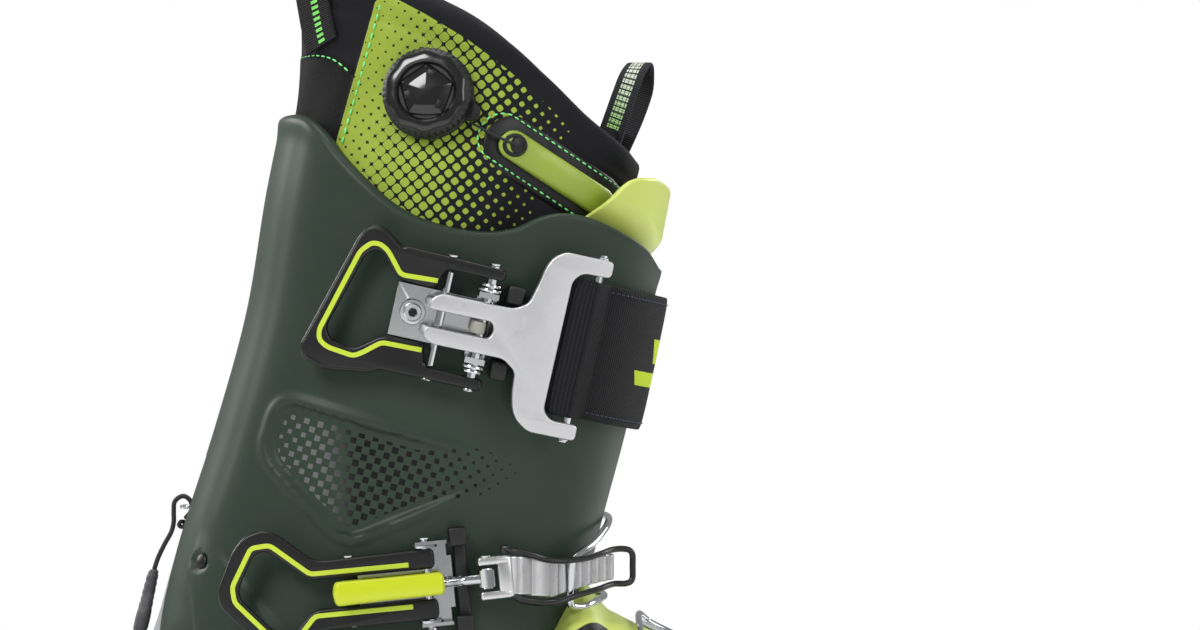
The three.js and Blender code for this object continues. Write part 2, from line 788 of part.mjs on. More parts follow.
function upperBuckle(cuff) {
  const frame = frameAt(STRAP_AT.x, STRAP_AT.z, STRAP_TILT);
  frame.name = "upper_buckle_frame";
  cuff.add(frame);
  // Folded steel base with two ears for the hinge pin.
  const hole = pin("z", [0, -HINGE_OUT], -40, 40, HINGE_PIN + 0.1, 16);
  const base = cut(
    joined(
      box(-31, 3.5, -2.4, -0.3, -9.3, 9.3).rotateZ(-1.5 * DEG),
      box(-3.5, 3.5, -10, -1, 10.6, 12.6),
      box(-3.5, 3.5, -10, -1, -12.6, -10.6),
      box(-3.5, 3.5, -2.4, -0.5, -12.6, 12.6),
    ),
    hole,
    pin("y", [-24.3, 0], -8, 8, 2.6, 12),
  );
  add(frame, "upper_buckle_base", base, STEEL);
  const screw = joined(
    pin("y", [-24.3, 0], -4.6, -2.4, 4.4, 16),
    pin("y", [-24.3, 0], -2.6, 0.4, 2.3, 12),
  );
  add(frame, "upper_base_screw", screw, STEEL);
  add(frame, "upper_hinge_pin", pin("z", [0, -HINGE_OUT], -22.4, 22.4, HINGE_PIN, 14), STEEL);
  const pads = joined(
    box(6, 12.4, -8.2, -0.2, 10, 16.8),
    box(6, 12.4, -8.2, -0.2, -16.8, -10),
    box(6.5, 12, -2, -0.2, -11, 11),
  );
  add(frame, "upper_buckle_pads", pads, RUBBER);
  const lever = turned(frame, "upper_lever_frame", 0, -HINGE_OUT, -8 * DEG);
  const leverPlate = cut(
    plate(UPPER_LEVER, -2.25, 2.25),
    pin("z", [0, 0], -40, 40, HINGE_PIN + 0.3, 14),
  );
  add(lever, "upper_lever", leverPlate, BLACK);
  const link = turned(frame, "upper_link_frame", 0, -HINGE_OUT, 8 * DEG);
  const tee = joined(
    plate(TEE_LINK, 2.3, 4.7),
    box(-20.4, -16.8, -2.6, 6, 3.3, 6.9),
    box(-20.4, -16.8, -2.6, 6, -6.5, -2.9),
    box(33.5, 39.9, -2.6, 1.9, 26.6, 32.1),
    box(33.5, 39.9, -2.6, 1.9, -31.5, -26.2),
  );
  const barHole = pin("z", [36.6, -0.6], -40, 40, 1.7, 12);
  add(link, "tee_link", cut(tee, barHole), ALLOY);
  add(link, "strap_bar", pin("z", [36.6, -0.6], -33, 33.6, 1.4, 12), STEEL);
  add(link, "upper_link_pin", pin("z", [-14.2, 4.15], -16.8, 16.8, 1.4, 10), STEEL);
  return { frame, lever, link };
}

// ---- Cuff buckle -------------------------------------------------------------------------
const CUFF_LEVER = [
  [2.9, 12.4],
  [-36, 11.6],
  [-39.5, 12.4],
  [-51, 22.4],
  [-56, 24.2],
  [-62, 22.6],
  [-66.5, 18],
  [-73.3, 4.2],
  [-72.6, -1.5],
  [-56, -21],
  [-50, -22.6],
  [-44, -19.6],
  [-37, -12.6],
  [2.9, -12.4],
  [2.9, -5.2],
  [-40, -5.2],
  [-48.5, -13.4],
  [-52.5, -14],
  [-65.5, 0.8],
  [-65.7, 4.6],
  [-59.5, 15.8],
  [-55, 16.8],
  [-41, 5.2],
  [2.9, 5.2],
];
const CUFF_BUCKLE = { x: 97.7, z: 146.2, tilt: -5.5 * DEG, out: 6.2, arm: 26.9 };

// The line of the ladder round the cuff's front, from the eye bolt's clevis on. It leaves the cuff
// by 5 mm at first and by about 9 mm at its free end.
function ladderLine(start) {
  const onCuff = [
    [-45, 5],
    [-40, 5],
    [-34, 5],
    [-28, 6],
    [-22.5, 7.5],
    [-17, 9],
  ].map(([degrees, offset]) => {
    const { x } = cuffPoint(degrees * DEG, 150, offset);
    const z = CUFF_BUCKLE.z + (x - CUFF_BUCKLE.x) * Math.tan(-CUFF_BUCKLE.tilt);
    return cuffPoint(degrees * DEG, z, offset);
  });
  return new THREE.CatmullRomCurve3([...start, ...onCuff]);
}
// A point beside that line: out from it, and up from it.
function besideLine(line, u, out, up) {
  const along = line.getTangent(u);
  const outward = new THREE.Vector3(along.y, -along.x, 0).normalize();
  return line.getPoint(u).addScaledVector(outward, out).add(new THREE.Vector3(0, 0, up));
}
function ladder(line) {
  const place = (u, v, side) => {
    const half = 7.7 - 2.4 * smooth(0.15, 0.9, u);
    const tooth = u > 0.34 ? 1.3 * Math.abs(((u * 13) % 1) - 0.5) : 0.5;
    return besideLine(line, u, side ? 1 + tooth : -1.5, (2 * v - 1) * half);
  };
  return wall(place, 39, 1);
}
function cuffBuckle(cuff) {
  const frame = frameAt(CUFF_BUCKLE.x, CUFF_BUCKLE.z, CUFF_BUCKLE.tilt);
  frame.name = "cuff_buckle_frame";
  cuff.add(frame);
  const { out, arm } = CUFF_BUCKLE;
  const ear = (z) => box(-3.6, 7.4, -9, -1.5, z - 0.6, z + 0.6);
  const base = cut(
    joined(
      box(-24, 9, -2.2, -0.9, -9, 9).rotateZ(-1.5 * DEG),
      ear(14.2),
      ear(-14.2),
      box(-3.6, 7.4, -2.2, -1.1, -14.8, 14.8),
    ),
    pin("z", [0, -out], -40, 40, 1.7, 14),
    pin("y", [-17, 0], -8, 8, 2.6, 12),
  );
  add(frame, "cuff_buckle_base", base, STEEL);
  const screw = joined(
    pin("y", [-17, 0], -3.6, -2.2, 3.6, 16),
    pin("y", [-17, 0], -2.6, -0.9, 2.3, 12),
  );
  add(frame, "cuff_base_screw", screw, STEEL);
  add(frame, "cuff_hinge_pin", pin("z", [0, -out], -15.6, 15.6, 1.5, 12), STEEL);
  const pads = joined(
    box(9.9, 14.4, -3.4, -1.2, -18, 18),
    box(8.4, 14.8, -7.6, -2.2, 12, 18.8),
    box(8.4, 14.8, -7.6, -2.2, -18.8, -12),
  );
  add(frame, "cuff_buckle_pads", pads, RUBBER);
  const lever = turned(frame, "cuff_lever_frame", 0, -out, -5 * DEG);
  const leverPlate = cut(
    plate(CUFF_LEVER, -2.1, 2.1),
    pin("z", [0, 0], -40, 40, 1.8, 14),
    pin("z", [-arm, 0], -20, 20, 1.6, 12),
  );
  add(lever, "cuff_lever", leverPlate, BLACK);
  // Adjuster: a lime sleeve with the eye bolt that carries the ladder, turning on its own pin.
  const pivot = [-arm * Math.cos(5 * DEG), arm * Math.sin(5 * DEG) - out];
  const chain = turned(frame, "cuff_chain_frame", ...pivot, 6 * DEG);
  const sleeve = joined(
    cut(
      joined(box(-8, 31, -11.4, -6.9, -4.1, 4.1), box(-3.9, 3.9, -11.4, 1.6, -4.1, 4.1)),
      pin("x", [-9, 0], 8, 40, 1.95, 10),
    ),
    pin("z", [0, 0], -9.6, 9.6, 1.35, 10),
  );
  add(chain, "adjuster_sleeve", sleeve, LIME);
  const eye = cut(
    joined(pin("x", [-9, 0], 10, 44.5, 1.6, 10), pin("z", [46.4, -9], -3.6, 3.6, 3, 14)),
    pin("z", [46.4, -9], -20, 20, 1.5, 10),
  );
  add(chain, "eye_bolt", eye, STEEL);
  return { frame, lever, chain };
}

// The ladder with its clevis, in the boot's frame.
function ladderSet(chain) {
  const cheek = (side) => {
    const [a, b] = side > 0 ? [4.4, 7.6] : [-7.6, -4.4];
    return box(43.4, 54.6, -11.6, -6.4, a, b);
  };
  const neck = box(50.4, 54.6, -11.5, -6.5, -7.6, 7.6);
  const axle = pin("z", [46.4, -9], -7.9, 7.9, 1.25, 10);
  const shaped = joined(cheek(1), cheek(-1), neck, axle);
  shaped.applyMatrix4(chain.matrixWorld);
  const start = [52.4, 56.5].map((x) => chain.localToWorld(new THREE.Vector3(x, -9 + x / 60, 0)));
  const line = ladderLine(start);
  return { line, geometry: joined(shaped, ladder(line)) };
}
// The keeper's wire runs beside the ladder, a little nearer the cuff, and ends beyond it.
function keeperRoute(line) {
  const past = line.getTangent(1).multiplyScalar(1.8);
  const strand = (side) => {
    const beside = [0.12, 0.25, 0.4, 0.55, 0.7, 0.85, 1].map((u) =>
      besideLine(line, u, -1.2 * smooth(0.1, 0.36, u), side * 10),
    );
    const corner = beside[6].clone().add(past);
    return [...beside, corner].map((p) => p.toArray());
  };
  return [...strand(1), ...strand(-1).reverse()];
}
function bailRoute() {
  const at = (angle, z, offset) => {
    const p = cuffPoint(angle * DEG, z, offset);
    return [p.x, p.y, p.z];
  };
  return [
    at(24, 167.5, 3.8),
    at(8, 167, 6.4),
    at(-6, 165, 9.4),
    at(-20, 162, 11.2),
    at(-28, 159, 10.8),
    at(-35, 155.5, 9.9),
    at(-35, 146.5, 9.9),
    at(-28, 143.6, 11.6),
    at(-20, 141.8, 13),
    at(-6, 141, 11.4),
    at(8, 140.6, 7.6),
    at(24, 140.4, 5),
  ];
}

// ---- Shell buckles -----------------------------------------------------------------------
const SHELL_LEVER = [
  [4, 10],
  [-26, 9.4],
  [-34, 14.5],
  [-44, 15],
  [-50, 10],
  [-52, 0],
  [-50, -10],
  [-44, -15],
  [-34, -14.5],
  [-26, -9.4],
  [4, -10],
  [4, -5.6],
  [-28, -5.4],
  [-36, -9.5],
  [-42, -9.5],
  [-45, -5],
  [-45, 5],
  [-42, 9.5],
  [-36, 9.5],
  [-28, 5.4],
  [4, 5.6],
];
// Places a buckle's frame on the foot: local +X runs up and over the instep, -Y stands out.
function footFrame(x, turn, skew) {
  const here = footPoint(x, turn);
  const ahead = footPoint(x, turn + 0.05);
  const along = footPoint(x + 2, turn);
  const over = ahead.clone().sub(here).normalize();
  const forward = along.clone().sub(here);
  const out = new THREE.Vector3().crossVectors(forward, over).normalize();
  if (out.y > 0 && out.z < 0) out.negate();
  const yAxis = out.clone().negate();
  const xAxis = over.clone().applyAxisAngle(out, skew);
  const zAxis = new THREE.Vector3().crossVectors(xAxis, yAxis).normalize();
  const group = new THREE.Group();
  group.applyMatrix4(new THREE.Matrix4().makeBasis(xAxis, yAxis, zAxis).setPosition(here));
  return group;
}
function shellBuckle(parent, name, { x, turn, skew, fold, catchTurn, catchX }) {
  const frame = footFrame(x, turn, skew);
  frame.name = name + "_frame";
  parent.add(frame);
  const out = 8.6;
  const ear = (z) => box(-3.4, 3.4, -out - 2.4, -3, z - 0.8, z + 0.8);
  const rivet = pin("z", [0, -out], -14, 14, 1.6, 12);
  const base = joined(box(-8, 8, -4, -2, -13.6, 13.6), ear(12.8), ear(-12.8), rivet);
  add(frame, name + "_base", base, STEEL);
  const lever = turned(frame, name + "_lever_frame", 0, -out, -6 * DEG);
  const arm = cut(
    folded(plate(SHELL_LEVER, -2.1, 2.1), -27, fold),
    pin("z", [0, 0], -20, 20, 1.9, 12),
    pin("z", [-19, 0], -20, 20, 1.9, 12),
  );
  add(lever, name + "_lever", arm, BLACK);
  // Wire bail: its ends turn in the lever's arms and its bar lies on the catch.
  frame.updateMatrixWorld(true);
  lever.updateMatrixWorld(true);
  const over = (u, side) => {
    const half = 3.2 + 5 * smooth(0.1, 0.8, u);
    const lift = 11.6 - 6 * smooth(0, 0.4, u) + 2.9 * smooth(0.7, 0.9, u);
    const p = footPoint(x + (catchX - x) * u + side * half, turn + (catchTurn - turn) * u, lift);
    return lever.worldToLocal(p).toArray();
  };
  const strand = (side) => [
    ...[0.18, 0.4, 0.6, 0.8].map((u) => over(u, side)),
    over(0.97, side * 0.85),
    over(1, side * 0.5),
  ];
  const start = (side) => [
    [-19, 0, side * 9.4],
    [-19, 0, side * 5.2],
    [-18, -2, side * 3.4],
    [-13, -4, side * 3.2],
    [0, -4.9, side * 3.2],
  ];
  const bail = [...start(-1), ...strand(1), ...strand(-1).reverse(), ...start(1).reverse()];
  add(lever, name + "_bail", tube(bail, 1.2, 46, 6), STEEL);
  return frame;
}
// A toothed catch on the inner side of the instep.
function shellCatch(name, x, from, to, parent) {
  const place = (u, v, side) => {
    const turn = from + (to - from) * u;
    const tooth = side ? 2 * (((u * 4) % 1) > 0.5 ? 1 : 0) : 0;
    return footPoint(x + (2 * v - 1) * 9, turn, side ? 5.2 + tooth * 0.5 : 3.8);
  };
  add(parent, name, wall(place, 16, 2), ALLOY);
}

// ---- Lacing dial -------------------------------------------------------------------------
function lacing(cuff) {
  const at = (x, z) => {
    let angle = -90 * DEG;
    for (let i = 0; i < 40; i += 1) angle += 0.006 * (x - linerPoint(angle, z).x);
    return angle;
  };
  const frame = seatOn((x, z) => linerPoint(at(x, z), z), DIAL.x, DIAL.z, 0);
  frame.name = "dial_frame";
  cuff.add(frame);
  const base = joined(
    pin("y", [0, 0], -4.6, -1.7, DIAL.radius, 28),
    box(8, 17.5, -4.2, -1.6, -9.5, -2),
  );
  const bore = pin("y", [0, 0], -6, -2.4, 5.4, 16);
  add(frame, "dial_base", cut(base, bore), BLACK);
  const knob = cut(
    pin("y", [0, 0], -DIAL.height, -5, DIAL.radius - 0.6, 30),
    pin("y", [0, 0], -20, -8.4, 9.4, 24),
    pin("y", [0, 0], -20, 0, 3.2, 16),
  );
  add(frame, "dial_knob", knob, BLACK);
  const hub = joined(pin("y", [0, 0], -10.2, -8.8, 8.4, 5), pin("y", [0, 0], -9, -2.8, 2.8, 16));
  add(frame, "dial_hub", hub, BLACK);
  // Guide: a lime tube from behind the dial to under the tongue.
  const guide = (u, v, side) => {
    const x = 125 + 27 * u;
    const z = 300 - 18 * u + (2 * v - 1) * (5.2 - 1.6 * (2 * u - 1) ** 6);
    return linerPoint(at(x, z), z, side ? 4.6 : 2.3);
  };
  add(cuff, "lace_guide", wall(guide, 10, 4), LIME);
  const lace = [
    [113, 306.5],
    [120, 302.6],
    [128, 298],
    [140, 290],
    [148, 284.7],
    [154, 280.7],
  ].map(([x, z]) => linerPoint(at(x, z), z, 1.05).toArray());
  add(cuff, "lace", tube(lace, 0.45, 18, 6), BLACK);
}

function cuffBody() {
  const group = new THREE.Group();
  add(group, "cuff_shell", cuffShell(), GREEN);
  add(group, "liner_shaft", linerShaft(), CLOTH);
  add(group, "liner_tongue", linerTongue(), CLOTH);
  add(group, "tongue_upper", upperTongue(), LIME);
  add(group, "walk_pin", pin("y", [WALK.x, WALK.z], -9.1, 9.1, 1.4, 12), STEEL);
  const loopBand = (route, half) => {
    const place = (u, v, side) => {
      const k = u * (route.length - 1);
      const i = Math.min(route.length - 2, Math.floor(k));
      const p = new THREE.Vector3(...route[i]).lerp(new THREE.Vector3(...route[i + 1]), k - i);
      const along = new THREE.Vector3(...route[i + 1]).sub(new THREE.Vector3(...route[i]));
      const out = new THREE.Vector3(-along.z, 0, along.x).normalize();
      return p.addScaledVector(out, side ? 0.6 : -0.6).add(new THREE.Vector3(0, (2 * v - 1) * half, 0));
    };
    return wall(place, route.length - 1, 1);
  };
  const frontLoop = [
    [157.4, 0, 316],
    [160, 0, 322],
    [163, 0, 330],
    [167, 0, 332.5],
    [171.5, 0, 330.5],
    [173.5, 0, 323],
    [171, 0, 312],
    [168.4, 0, 305],
  ];
  add(group, "front_pull_loop", loopBand(frontLoop, 5), CLOTH);
  const rearLoop = [
    [50.4, 0, 326],
    [49.4, 0, 340],
    [48.4, 0, 356],
    [49, 0, 370],
    [53, 0, 376],
    [57.6, 0, 373.6],
    [59, 0, 367.6],
  ];
  add(group, "rear_pull_loop", loopBand(rearLoop, 8), CLOTH);
  lacing(group);
  return group;
}

// ---- Assembly ----------------------------------------------------------------------------
boot.add(lowerBody());
const cuff = cuffBody();
boot.add(cuff);
const upper = upperBuckle(cuff);
add(upper.link.parent.parent, "strap_free", strapPiece(-50 * DEG, STRAP_SPLIT - 1.6 * DEG, freeLift), CLOTH);
add(cuff, "strap_fixed", strapPiece(STRAP_SPLIT + 1.6 * DEG, 96 * DEG, () => 2.6), CLOTH);
const buckle = cuffBuckle(cuff);
buckle.chain.updateWorldMatrix(true, false);
const rack = ladderSet(buckle.chain);
add(cuff, "ladder", rack.geometry, ALLOY);
add(cuff, "ladder_keeper", tube(keeperRoute(rack.line), 0.95, 30, 6), BLACK);
add(cuff, "bail", tube(bailRoute(), 1.3, 30, 6), STEEL);
// The bail's hinge line, along its two ends.
const hingeLow = cuffPoint(24 * DEG, 140.4, 5);
const hingeHigh = cuffPoint(24 * DEG, 167.5, 3.8);
const bailFrame = new THREE.Group();
bailFrame.name = "bail_frame";
bailFrame.position.copy(hingeLow).lerp(hingeHigh, 0.5);
const hingeLine = hingeHigh.clone().sub(hingeLow).normalize();
bailFrame.quaternion.setFromUnitVectors(new THREE.Vector3(0, 0, 1), hingeLine);
cuff.add(bailFrame);
const bracket = (u, v, side) =>
  cuffPoint((25.5 + 9 * u) * DEG, 136 + 33 * v, side ? 5 : 0.5);
add(cuff, "bail_bracket", wall(bracket, 2, 4), STEEL);
boot.add(walkBody());
shellBuckle(boot, "instep", {
  x: 176,
  turn: -70 * DEG,
  skew: 0.3,
  fold: 9 * DEG,
  catchTurn: 22 * DEG,
  catchX: 181,
});
shellCatch("instep_catch", 181, 8 * DEG, 40 * DEG, boot);
shellBuckle(boot, "toe", {
  x: 226,
  turn: -72 * DEG,
  skew: 0.08,
  fold: 15 * DEG,
  catchTurn: 18 * DEG,
  catchX: 228,
});
shellCatch("toe_catch", 228, 6 * DEG, 34 * DEG, boot);

// The free cord and what hangs on it don't count in the box that sets the origin.
const FREE = ["pull_cord", "cord_knot", "pull_tab"];
const extent = new THREE.Box3();
boot.updateMatrixWorld(true);
boot.traverse((o) => {
  if (o.isMesh && !FREE.includes(o.name)) extent.expandByObject(o, true);
});
const middle = extent.getCenter(new THREE.Vector3());
boot.position.set(-middle.x, -middle.y, -extent.min.z);

export default boot;
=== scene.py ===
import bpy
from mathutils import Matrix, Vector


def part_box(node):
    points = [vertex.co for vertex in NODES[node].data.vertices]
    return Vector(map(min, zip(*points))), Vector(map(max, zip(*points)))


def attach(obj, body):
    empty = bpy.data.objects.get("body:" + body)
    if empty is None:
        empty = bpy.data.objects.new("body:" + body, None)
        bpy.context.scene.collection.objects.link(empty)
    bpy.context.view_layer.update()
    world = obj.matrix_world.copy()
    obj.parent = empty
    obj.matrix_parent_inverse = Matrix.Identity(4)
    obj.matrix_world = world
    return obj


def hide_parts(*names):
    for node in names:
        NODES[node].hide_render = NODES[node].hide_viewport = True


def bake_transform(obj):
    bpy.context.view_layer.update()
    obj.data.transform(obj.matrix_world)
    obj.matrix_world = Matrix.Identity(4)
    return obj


bl_info = {
    "name": "Touring Ski Boot",
    "version": (1, 0, 0),
    "blender": (4, 5, 0),
    "location": "View3D > Sidebar > Ski Boot",
    "description": "Builds the looks of an alpine touring ski boot around its packed frame",
    "category": "Add Mesh",
}

import math

import bmesh
import bpy
import numpy as np
from bpy.props import FloatProperty, FloatVectorProperty, PointerProperty
from mathutils import Matrix, Vector

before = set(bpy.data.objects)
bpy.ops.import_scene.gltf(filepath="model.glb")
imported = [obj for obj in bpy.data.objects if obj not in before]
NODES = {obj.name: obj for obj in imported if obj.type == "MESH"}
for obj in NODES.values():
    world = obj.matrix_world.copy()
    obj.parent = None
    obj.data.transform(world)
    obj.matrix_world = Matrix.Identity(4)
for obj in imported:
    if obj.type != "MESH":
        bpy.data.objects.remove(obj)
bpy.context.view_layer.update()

# The boot is laid out in millimetres from the heel's datum plane, as its solids are. SHIFT takes
# that layout to the row frame, and is read off a solid whose place in the layout is known.
MM = 0.001
HEEL_PLATE_CORNER = np.array([4.6, -15.0, 14.6])
SHIFT = np.array(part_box("heel_insert")[0]) / MM - HEEL_PLATE_CORNER
TO_ROW = Matrix.Scale(MM, 4) @ Matrix.Translation(Vector(SHIFT))
DEG = math.pi / 180
TURN = 2 * math.pi

PIVOT = np.array([78.0, 0.0, 105.0])
CUFF_POWER = 2.4
FOOT_POWER = 2.5
SHELL_WALL = 4.2
# Height, rear, front and half width of the cuff.
CUFF = np.array([
    [80, 2.5, 148, 50.6], [105, 1.2, 149, 50.4], [130, 1.8, 151, 49.6], [160, 8.6, 157, 49.6],
    [200, 21.3, 167.5, 52.5], [240, 32.3, 176.2, 55.5], [280, 39, 184, 57], [320, 46, 191, 57.5],
    [370, 46.5, 199, 57.5],
])
# Edges of the cuff and the liner as height over X.
CUFF_TOP = np.array([
    [40, 306], [44.5, 309.6], [53, 309.2], [60, 304], [67, 295.5], [76, 286.5], [87, 277.6],
    [99, 272], [116, 268.6], [128, 269.6], [137, 273.4], [145, 275], [155, 273.6], [165, 269.3],
    [174, 263.5], [179, 256],
])
CUFF_BOTTOM = np.array([
    [0, 101], [25, 93], [55, 85], [92, 85], [115, 97], [135, 118], [147, 135], [153, 148],
])
LINER_TOP = np.array([
    [48, 366], [60, 364], [80, 358], [100, 350], [114, 343.5], [127, 335], [140, 324],
    [152, 312], [166, 300], [176, 288],
])
# Foot shell: X, centre, half width, bottom and top.
FOOT = np.array([
    [9, 0, 17, 32, 60], [14, 0, 27, 23, 70], [28, 0, 35, 16, 86], [50, 0, 39.5, 14, 98],
    [80, 0, 42, 16, 104], [110, 0, 42.5, 20, 114], [138, -1, 45, 22, 128], [155, -1, 47.5, 21, 133],
    [170, -1, 49.8, 19, 127], [190, 0, 52.5, 16, 117.5], [215, 1, 54, 14, 107], [240, 3, 53, 14, 98],
    [262, 5, 48.5, 15, 89.5], [280, 6, 41, 17, 80], [292, 7, 31, 21, 69], [299, 7.5, 18, 28, 56],
])


# ---- Curves and surfaces -----------------------------------------------------------------
def smooth(a, b, x):
    """0 before a, 1 after b, and the cubic 3t^2 - 2t^3 between."""
    t = np.clip((x - a) / (b - a), 0, 1)
    return t * t * (3 - 2 * t)


def signed_power(value, power):
    """The sign of the value times its size to the power."""
    return np.sign(value) * np.abs(value) ** power


def read(table, x, column=1):
    """Cubic Hermite curve through the table's rows, with each row's slope taken from its neighbours."""
    xs, ys = table[:, 0], table[:, column]
    x = np.clip(x, xs[0], xs[-1])
    before = np.maximum(np.arange(len(xs)) - 1, 0)
    after = np.minimum(np.arange(len(xs)) + 1, len(xs) - 1)
    slope = (ys[after] - ys[before]) / (xs[after] - xs[before])
    i = np.clip(np.searchsorted(xs, x) - 1, 0, len(xs) - 2)
    span = xs[i + 1] - xs[i]
    t = (x - xs[i]) / span
    return (
        (2 * t**3 - 3 * t**2 + 1) * ys[i]
        + (t**3 - 2 * t**2 + t) * span * slope[i]
        + (3 * t**2 - 2 * t**3) * ys[i + 1]
        + (t**3 - t**2) * span * slope[i + 1]
    )


def middle_of(z):
    """X half way between the cuff's rear and front at height z."""
    return (read(CUFF, z, 1) + read(CUFF, z, 2)) / 2


def cuff_point(angle, z, offset=0.0):
    """Superellipse section at height z, angle 0 at the front and -90 degrees at the outer side."""
    angle, z = np.broadcast_arrays(np.asarray(angle, float), np.asarray(z, float))
    rear, front = read(CUFF, z, 1), read(CUFF, z, 2)
    power = 2 / CUFF_POWER
    x = (rear + front) / 2 + ((front - rear) / 2 + offset) * signed_power(np.cos(angle), power)
    y = (read(CUFF, z, 3) + offset) * signed_power(np.sin(angle), power)
    return np.stack([x, y, z + 0 * x], -1)


def edge_height(table, angle, start, point=cuff_point):
    """The height at which a surface meets an edge that is drawn over X, found by steps."""
    z = np.full(np.shape(angle), float(start))
    for _ in range(40):
        z = z + 0.5 * (read(table, point(angle, z)[..., 0]) - z)
    return z


def liner_point(angle, z, offset=0.0):
    """The cuff's surface moved in by its wall, and further in at the front for the tongue."""
    above = smooth(285, 325, z)
    front = smooth(-0.08, 0.36, np.cos(angle))
    p = cuff_point(angle, z, offset - (SHELL_WALL + 1.2 + 10 * front * (1 - 0.3 * above)))
    p[..., 1] *= 1 - 0.1 * above
    return p


def foot_point(x, turn, offset=0.0):
    """Superellipse section across the foot at x, turn 0 at the top and -90 degrees outside."""
    x, turn = np.broadcast_arrays(np.asarray(x, float), np.asarray(turn, float))
    middle, half, low, top = (read(FOOT, x, k) for k in (1, 2, 3, 4))
    power = 2 / FOOT_POWER
    y = middle + (half + offset) * signed_power(np.sin(turn), power)
    z = (low + top) / 2 + ((top - low) / 2 + offset) * signed_power(np.cos(turn), power)
    return np.stack([x + 0 * y, y, z], -1)


def outer_side(x, z):
    """Y of the cuff's outer side at X and Z, from the section's equation solved for Y."""
    rear, front = read(CUFF, z, 1), read(CUFF, z, 2)
    t = np.abs(x - (rear + front) / 2) / ((front - rear) / 2)
    return -read(CUFF, z, 3) * np.maximum(1 - t**CUFF_POWER, 0) ** (1 / CUFF_POWER)


def angle_at(x, z, point):
    """The angle on the outer side at which a surface has this X, by steps from the side's middle."""
    angle = np.full(np.broadcast(x, z).shape, -90.0 * DEG)
    for _ in range(60):
        angle = angle + 0.006 * (x - point(angle, z)[..., 0])
    return angle


def on_liner(x, z, offset=0.0):
    """The point of the liner's outer side with this X and Z, moved out by offset."""
    x, z = np.asarray(x, float), np.asarray(z, float)
    return liner_point(angle_at(x, z, liner_point), z, offset)


def seat(here, along, up, tilt=0.0):
    """A frame with X along the surface and tilted, -Y out of it and Z up, as a 4x4 in millimetres."""
    here, along, up = Vector(here), Vector(along) - Vector(here), Vector(up) - Vector(here)
    inward = up.cross(along).normalized()
    x_axis = along.normalized()
    x_axis.rotate(Matrix.Rotation(tilt, 3, inward))
    z_axis = x_axis.cross(inward)
    turned = Matrix((x_axis, inward, z_axis)).transposed().to_4x4()
    return Matrix.Translation(here) @ turned


def cuff_seat(x, z, tilt):
    """The frame on the cuff's outer side at X and Z."""
    def at(a, b):
        return (a, float(outer_side(a, b)), b)

    return seat(at(x, z), at(x + 0.5, z), at(x, z + 0.5), tilt)


def liner_seat(x, z):
    """The frame on the liner's outer side at X and Z."""
    return seat(on_liner(x, z), on_liner(x + 0.5, z), on_liner(x, z + 0.5))


def catmull(points, count):
    """count points of the Catmull-Rom curve through the given ones, even in parameter."""
    p = np.asarray(points, float)
    p = np.concatenate([[2 * p[0] - p[1]], p, [2 * p[-1] - p[-2]]])
    u = np.linspace(0, len(p) - 3, count)
    i = np.minimum(u.astype(int), len(p) - 4)
    t = (u - i)[:, None]
    a, b, c, d = p[i], p[i + 1], p[i + 2], p[i + 3]
    return 0.5 * (
        2 * b + (c - a) * t + (2 * a - 5 * b + 4 * c - d) * t**2 + (3 * b - a - 3 * c + d) * t**3
    )


def fillet(corners, radius, steps=6):
    """A closed outline with each corner cut back by radius along both edges and joined by a parabola."""
    p = np.asarray(corners, float)
    before, after = np.roll(p, 1, 0) - p, np.roll(p, -1, 0) - p
    la, lb = np.linalg.norm(before, axis=1), np.linalg.norm(after, axis=1)
    cut = np.minimum(np.minimum(radius, 0.45 * la), 0.45 * lb)[:, None]
    a, b = p + before / la[:, None] * cut, p + after / lb[:, None] * cut
    t = np.linspace(0, 1, steps)[None, :, None]
    arcs = (1 - t) ** 2 * a[:, None] + 2 * t * (1 - t) * p[:, None] + t**2 * b[:, None]
    return arcs.reshape(-1, 2)


def outline_distance(x, z, corners):
    """Distance of each point inside a closed outline, negative outside it."""
    a = np.asarray(corners, float)
    b = np.roll(a, -1, 0)
    p = np.stack([x, z], -1)[..., None, :]
    edge = b - a
    t = np.clip(((p - a) * edge).sum(-1) / (edge**2).sum(-1), 0, 1)
    near = np.linalg.norm(p - a - t[..., None] * edge, axis=-1).min(-1)
    above = (a[:, 1] > p[..., 1]) != (b[:, 1] > p[..., 1])
    with np.errstate(divide="ignore", invalid="ignore"):
        meet = edge[:, 0] * (p[..., 1] - a[:, 1]) / edge[:, 1] + a[:, 0]
    inside = (above & (p[..., 0] < meet)).sum(-1) % 2 == 1
    return np.where(inside, near, -near)


# ---- Meshes ------------------------------------------------------------------------------
def into(at, points):
    """Points given in a frame, in layout millimetres."""
    return np.asarray(points, float) @ np.array(at.to_3x3()).T + np.array(at.translation)


def make(name, points, faces, material, body=None, slot=None, sharp=None):
    """A mesh object from points in layout millimetres. Edges above the angle sharp stay sharp."""
    mesh = bpy.data.meshes.new(name)
    rows = (np.asarray(points, float).reshape(-1, 3) + SHIFT) * MM
    mesh.from_pydata(rows.tolist(), [], faces if isinstance(faces, list) else faces.tolist())
    return place(mesh, name, material, body, slot, sharp)


def place(mesh, name, material, body=None, slot=None, sharp=None):
    """Puts a finished mesh into the scene with its material, body and slot."""
    obj = bpy.data.objects.new(name, mesh)
    bpy.context.scene.collection.objects.link(obj)
    if material is not None:
        mesh.materials.append(material)
    mesh.shade_smooth()
    if sharp is not None:
        mesh.set_sharp_from_angle(angle=sharp * DEG)
    if body:
        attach(obj, body)
    return obj


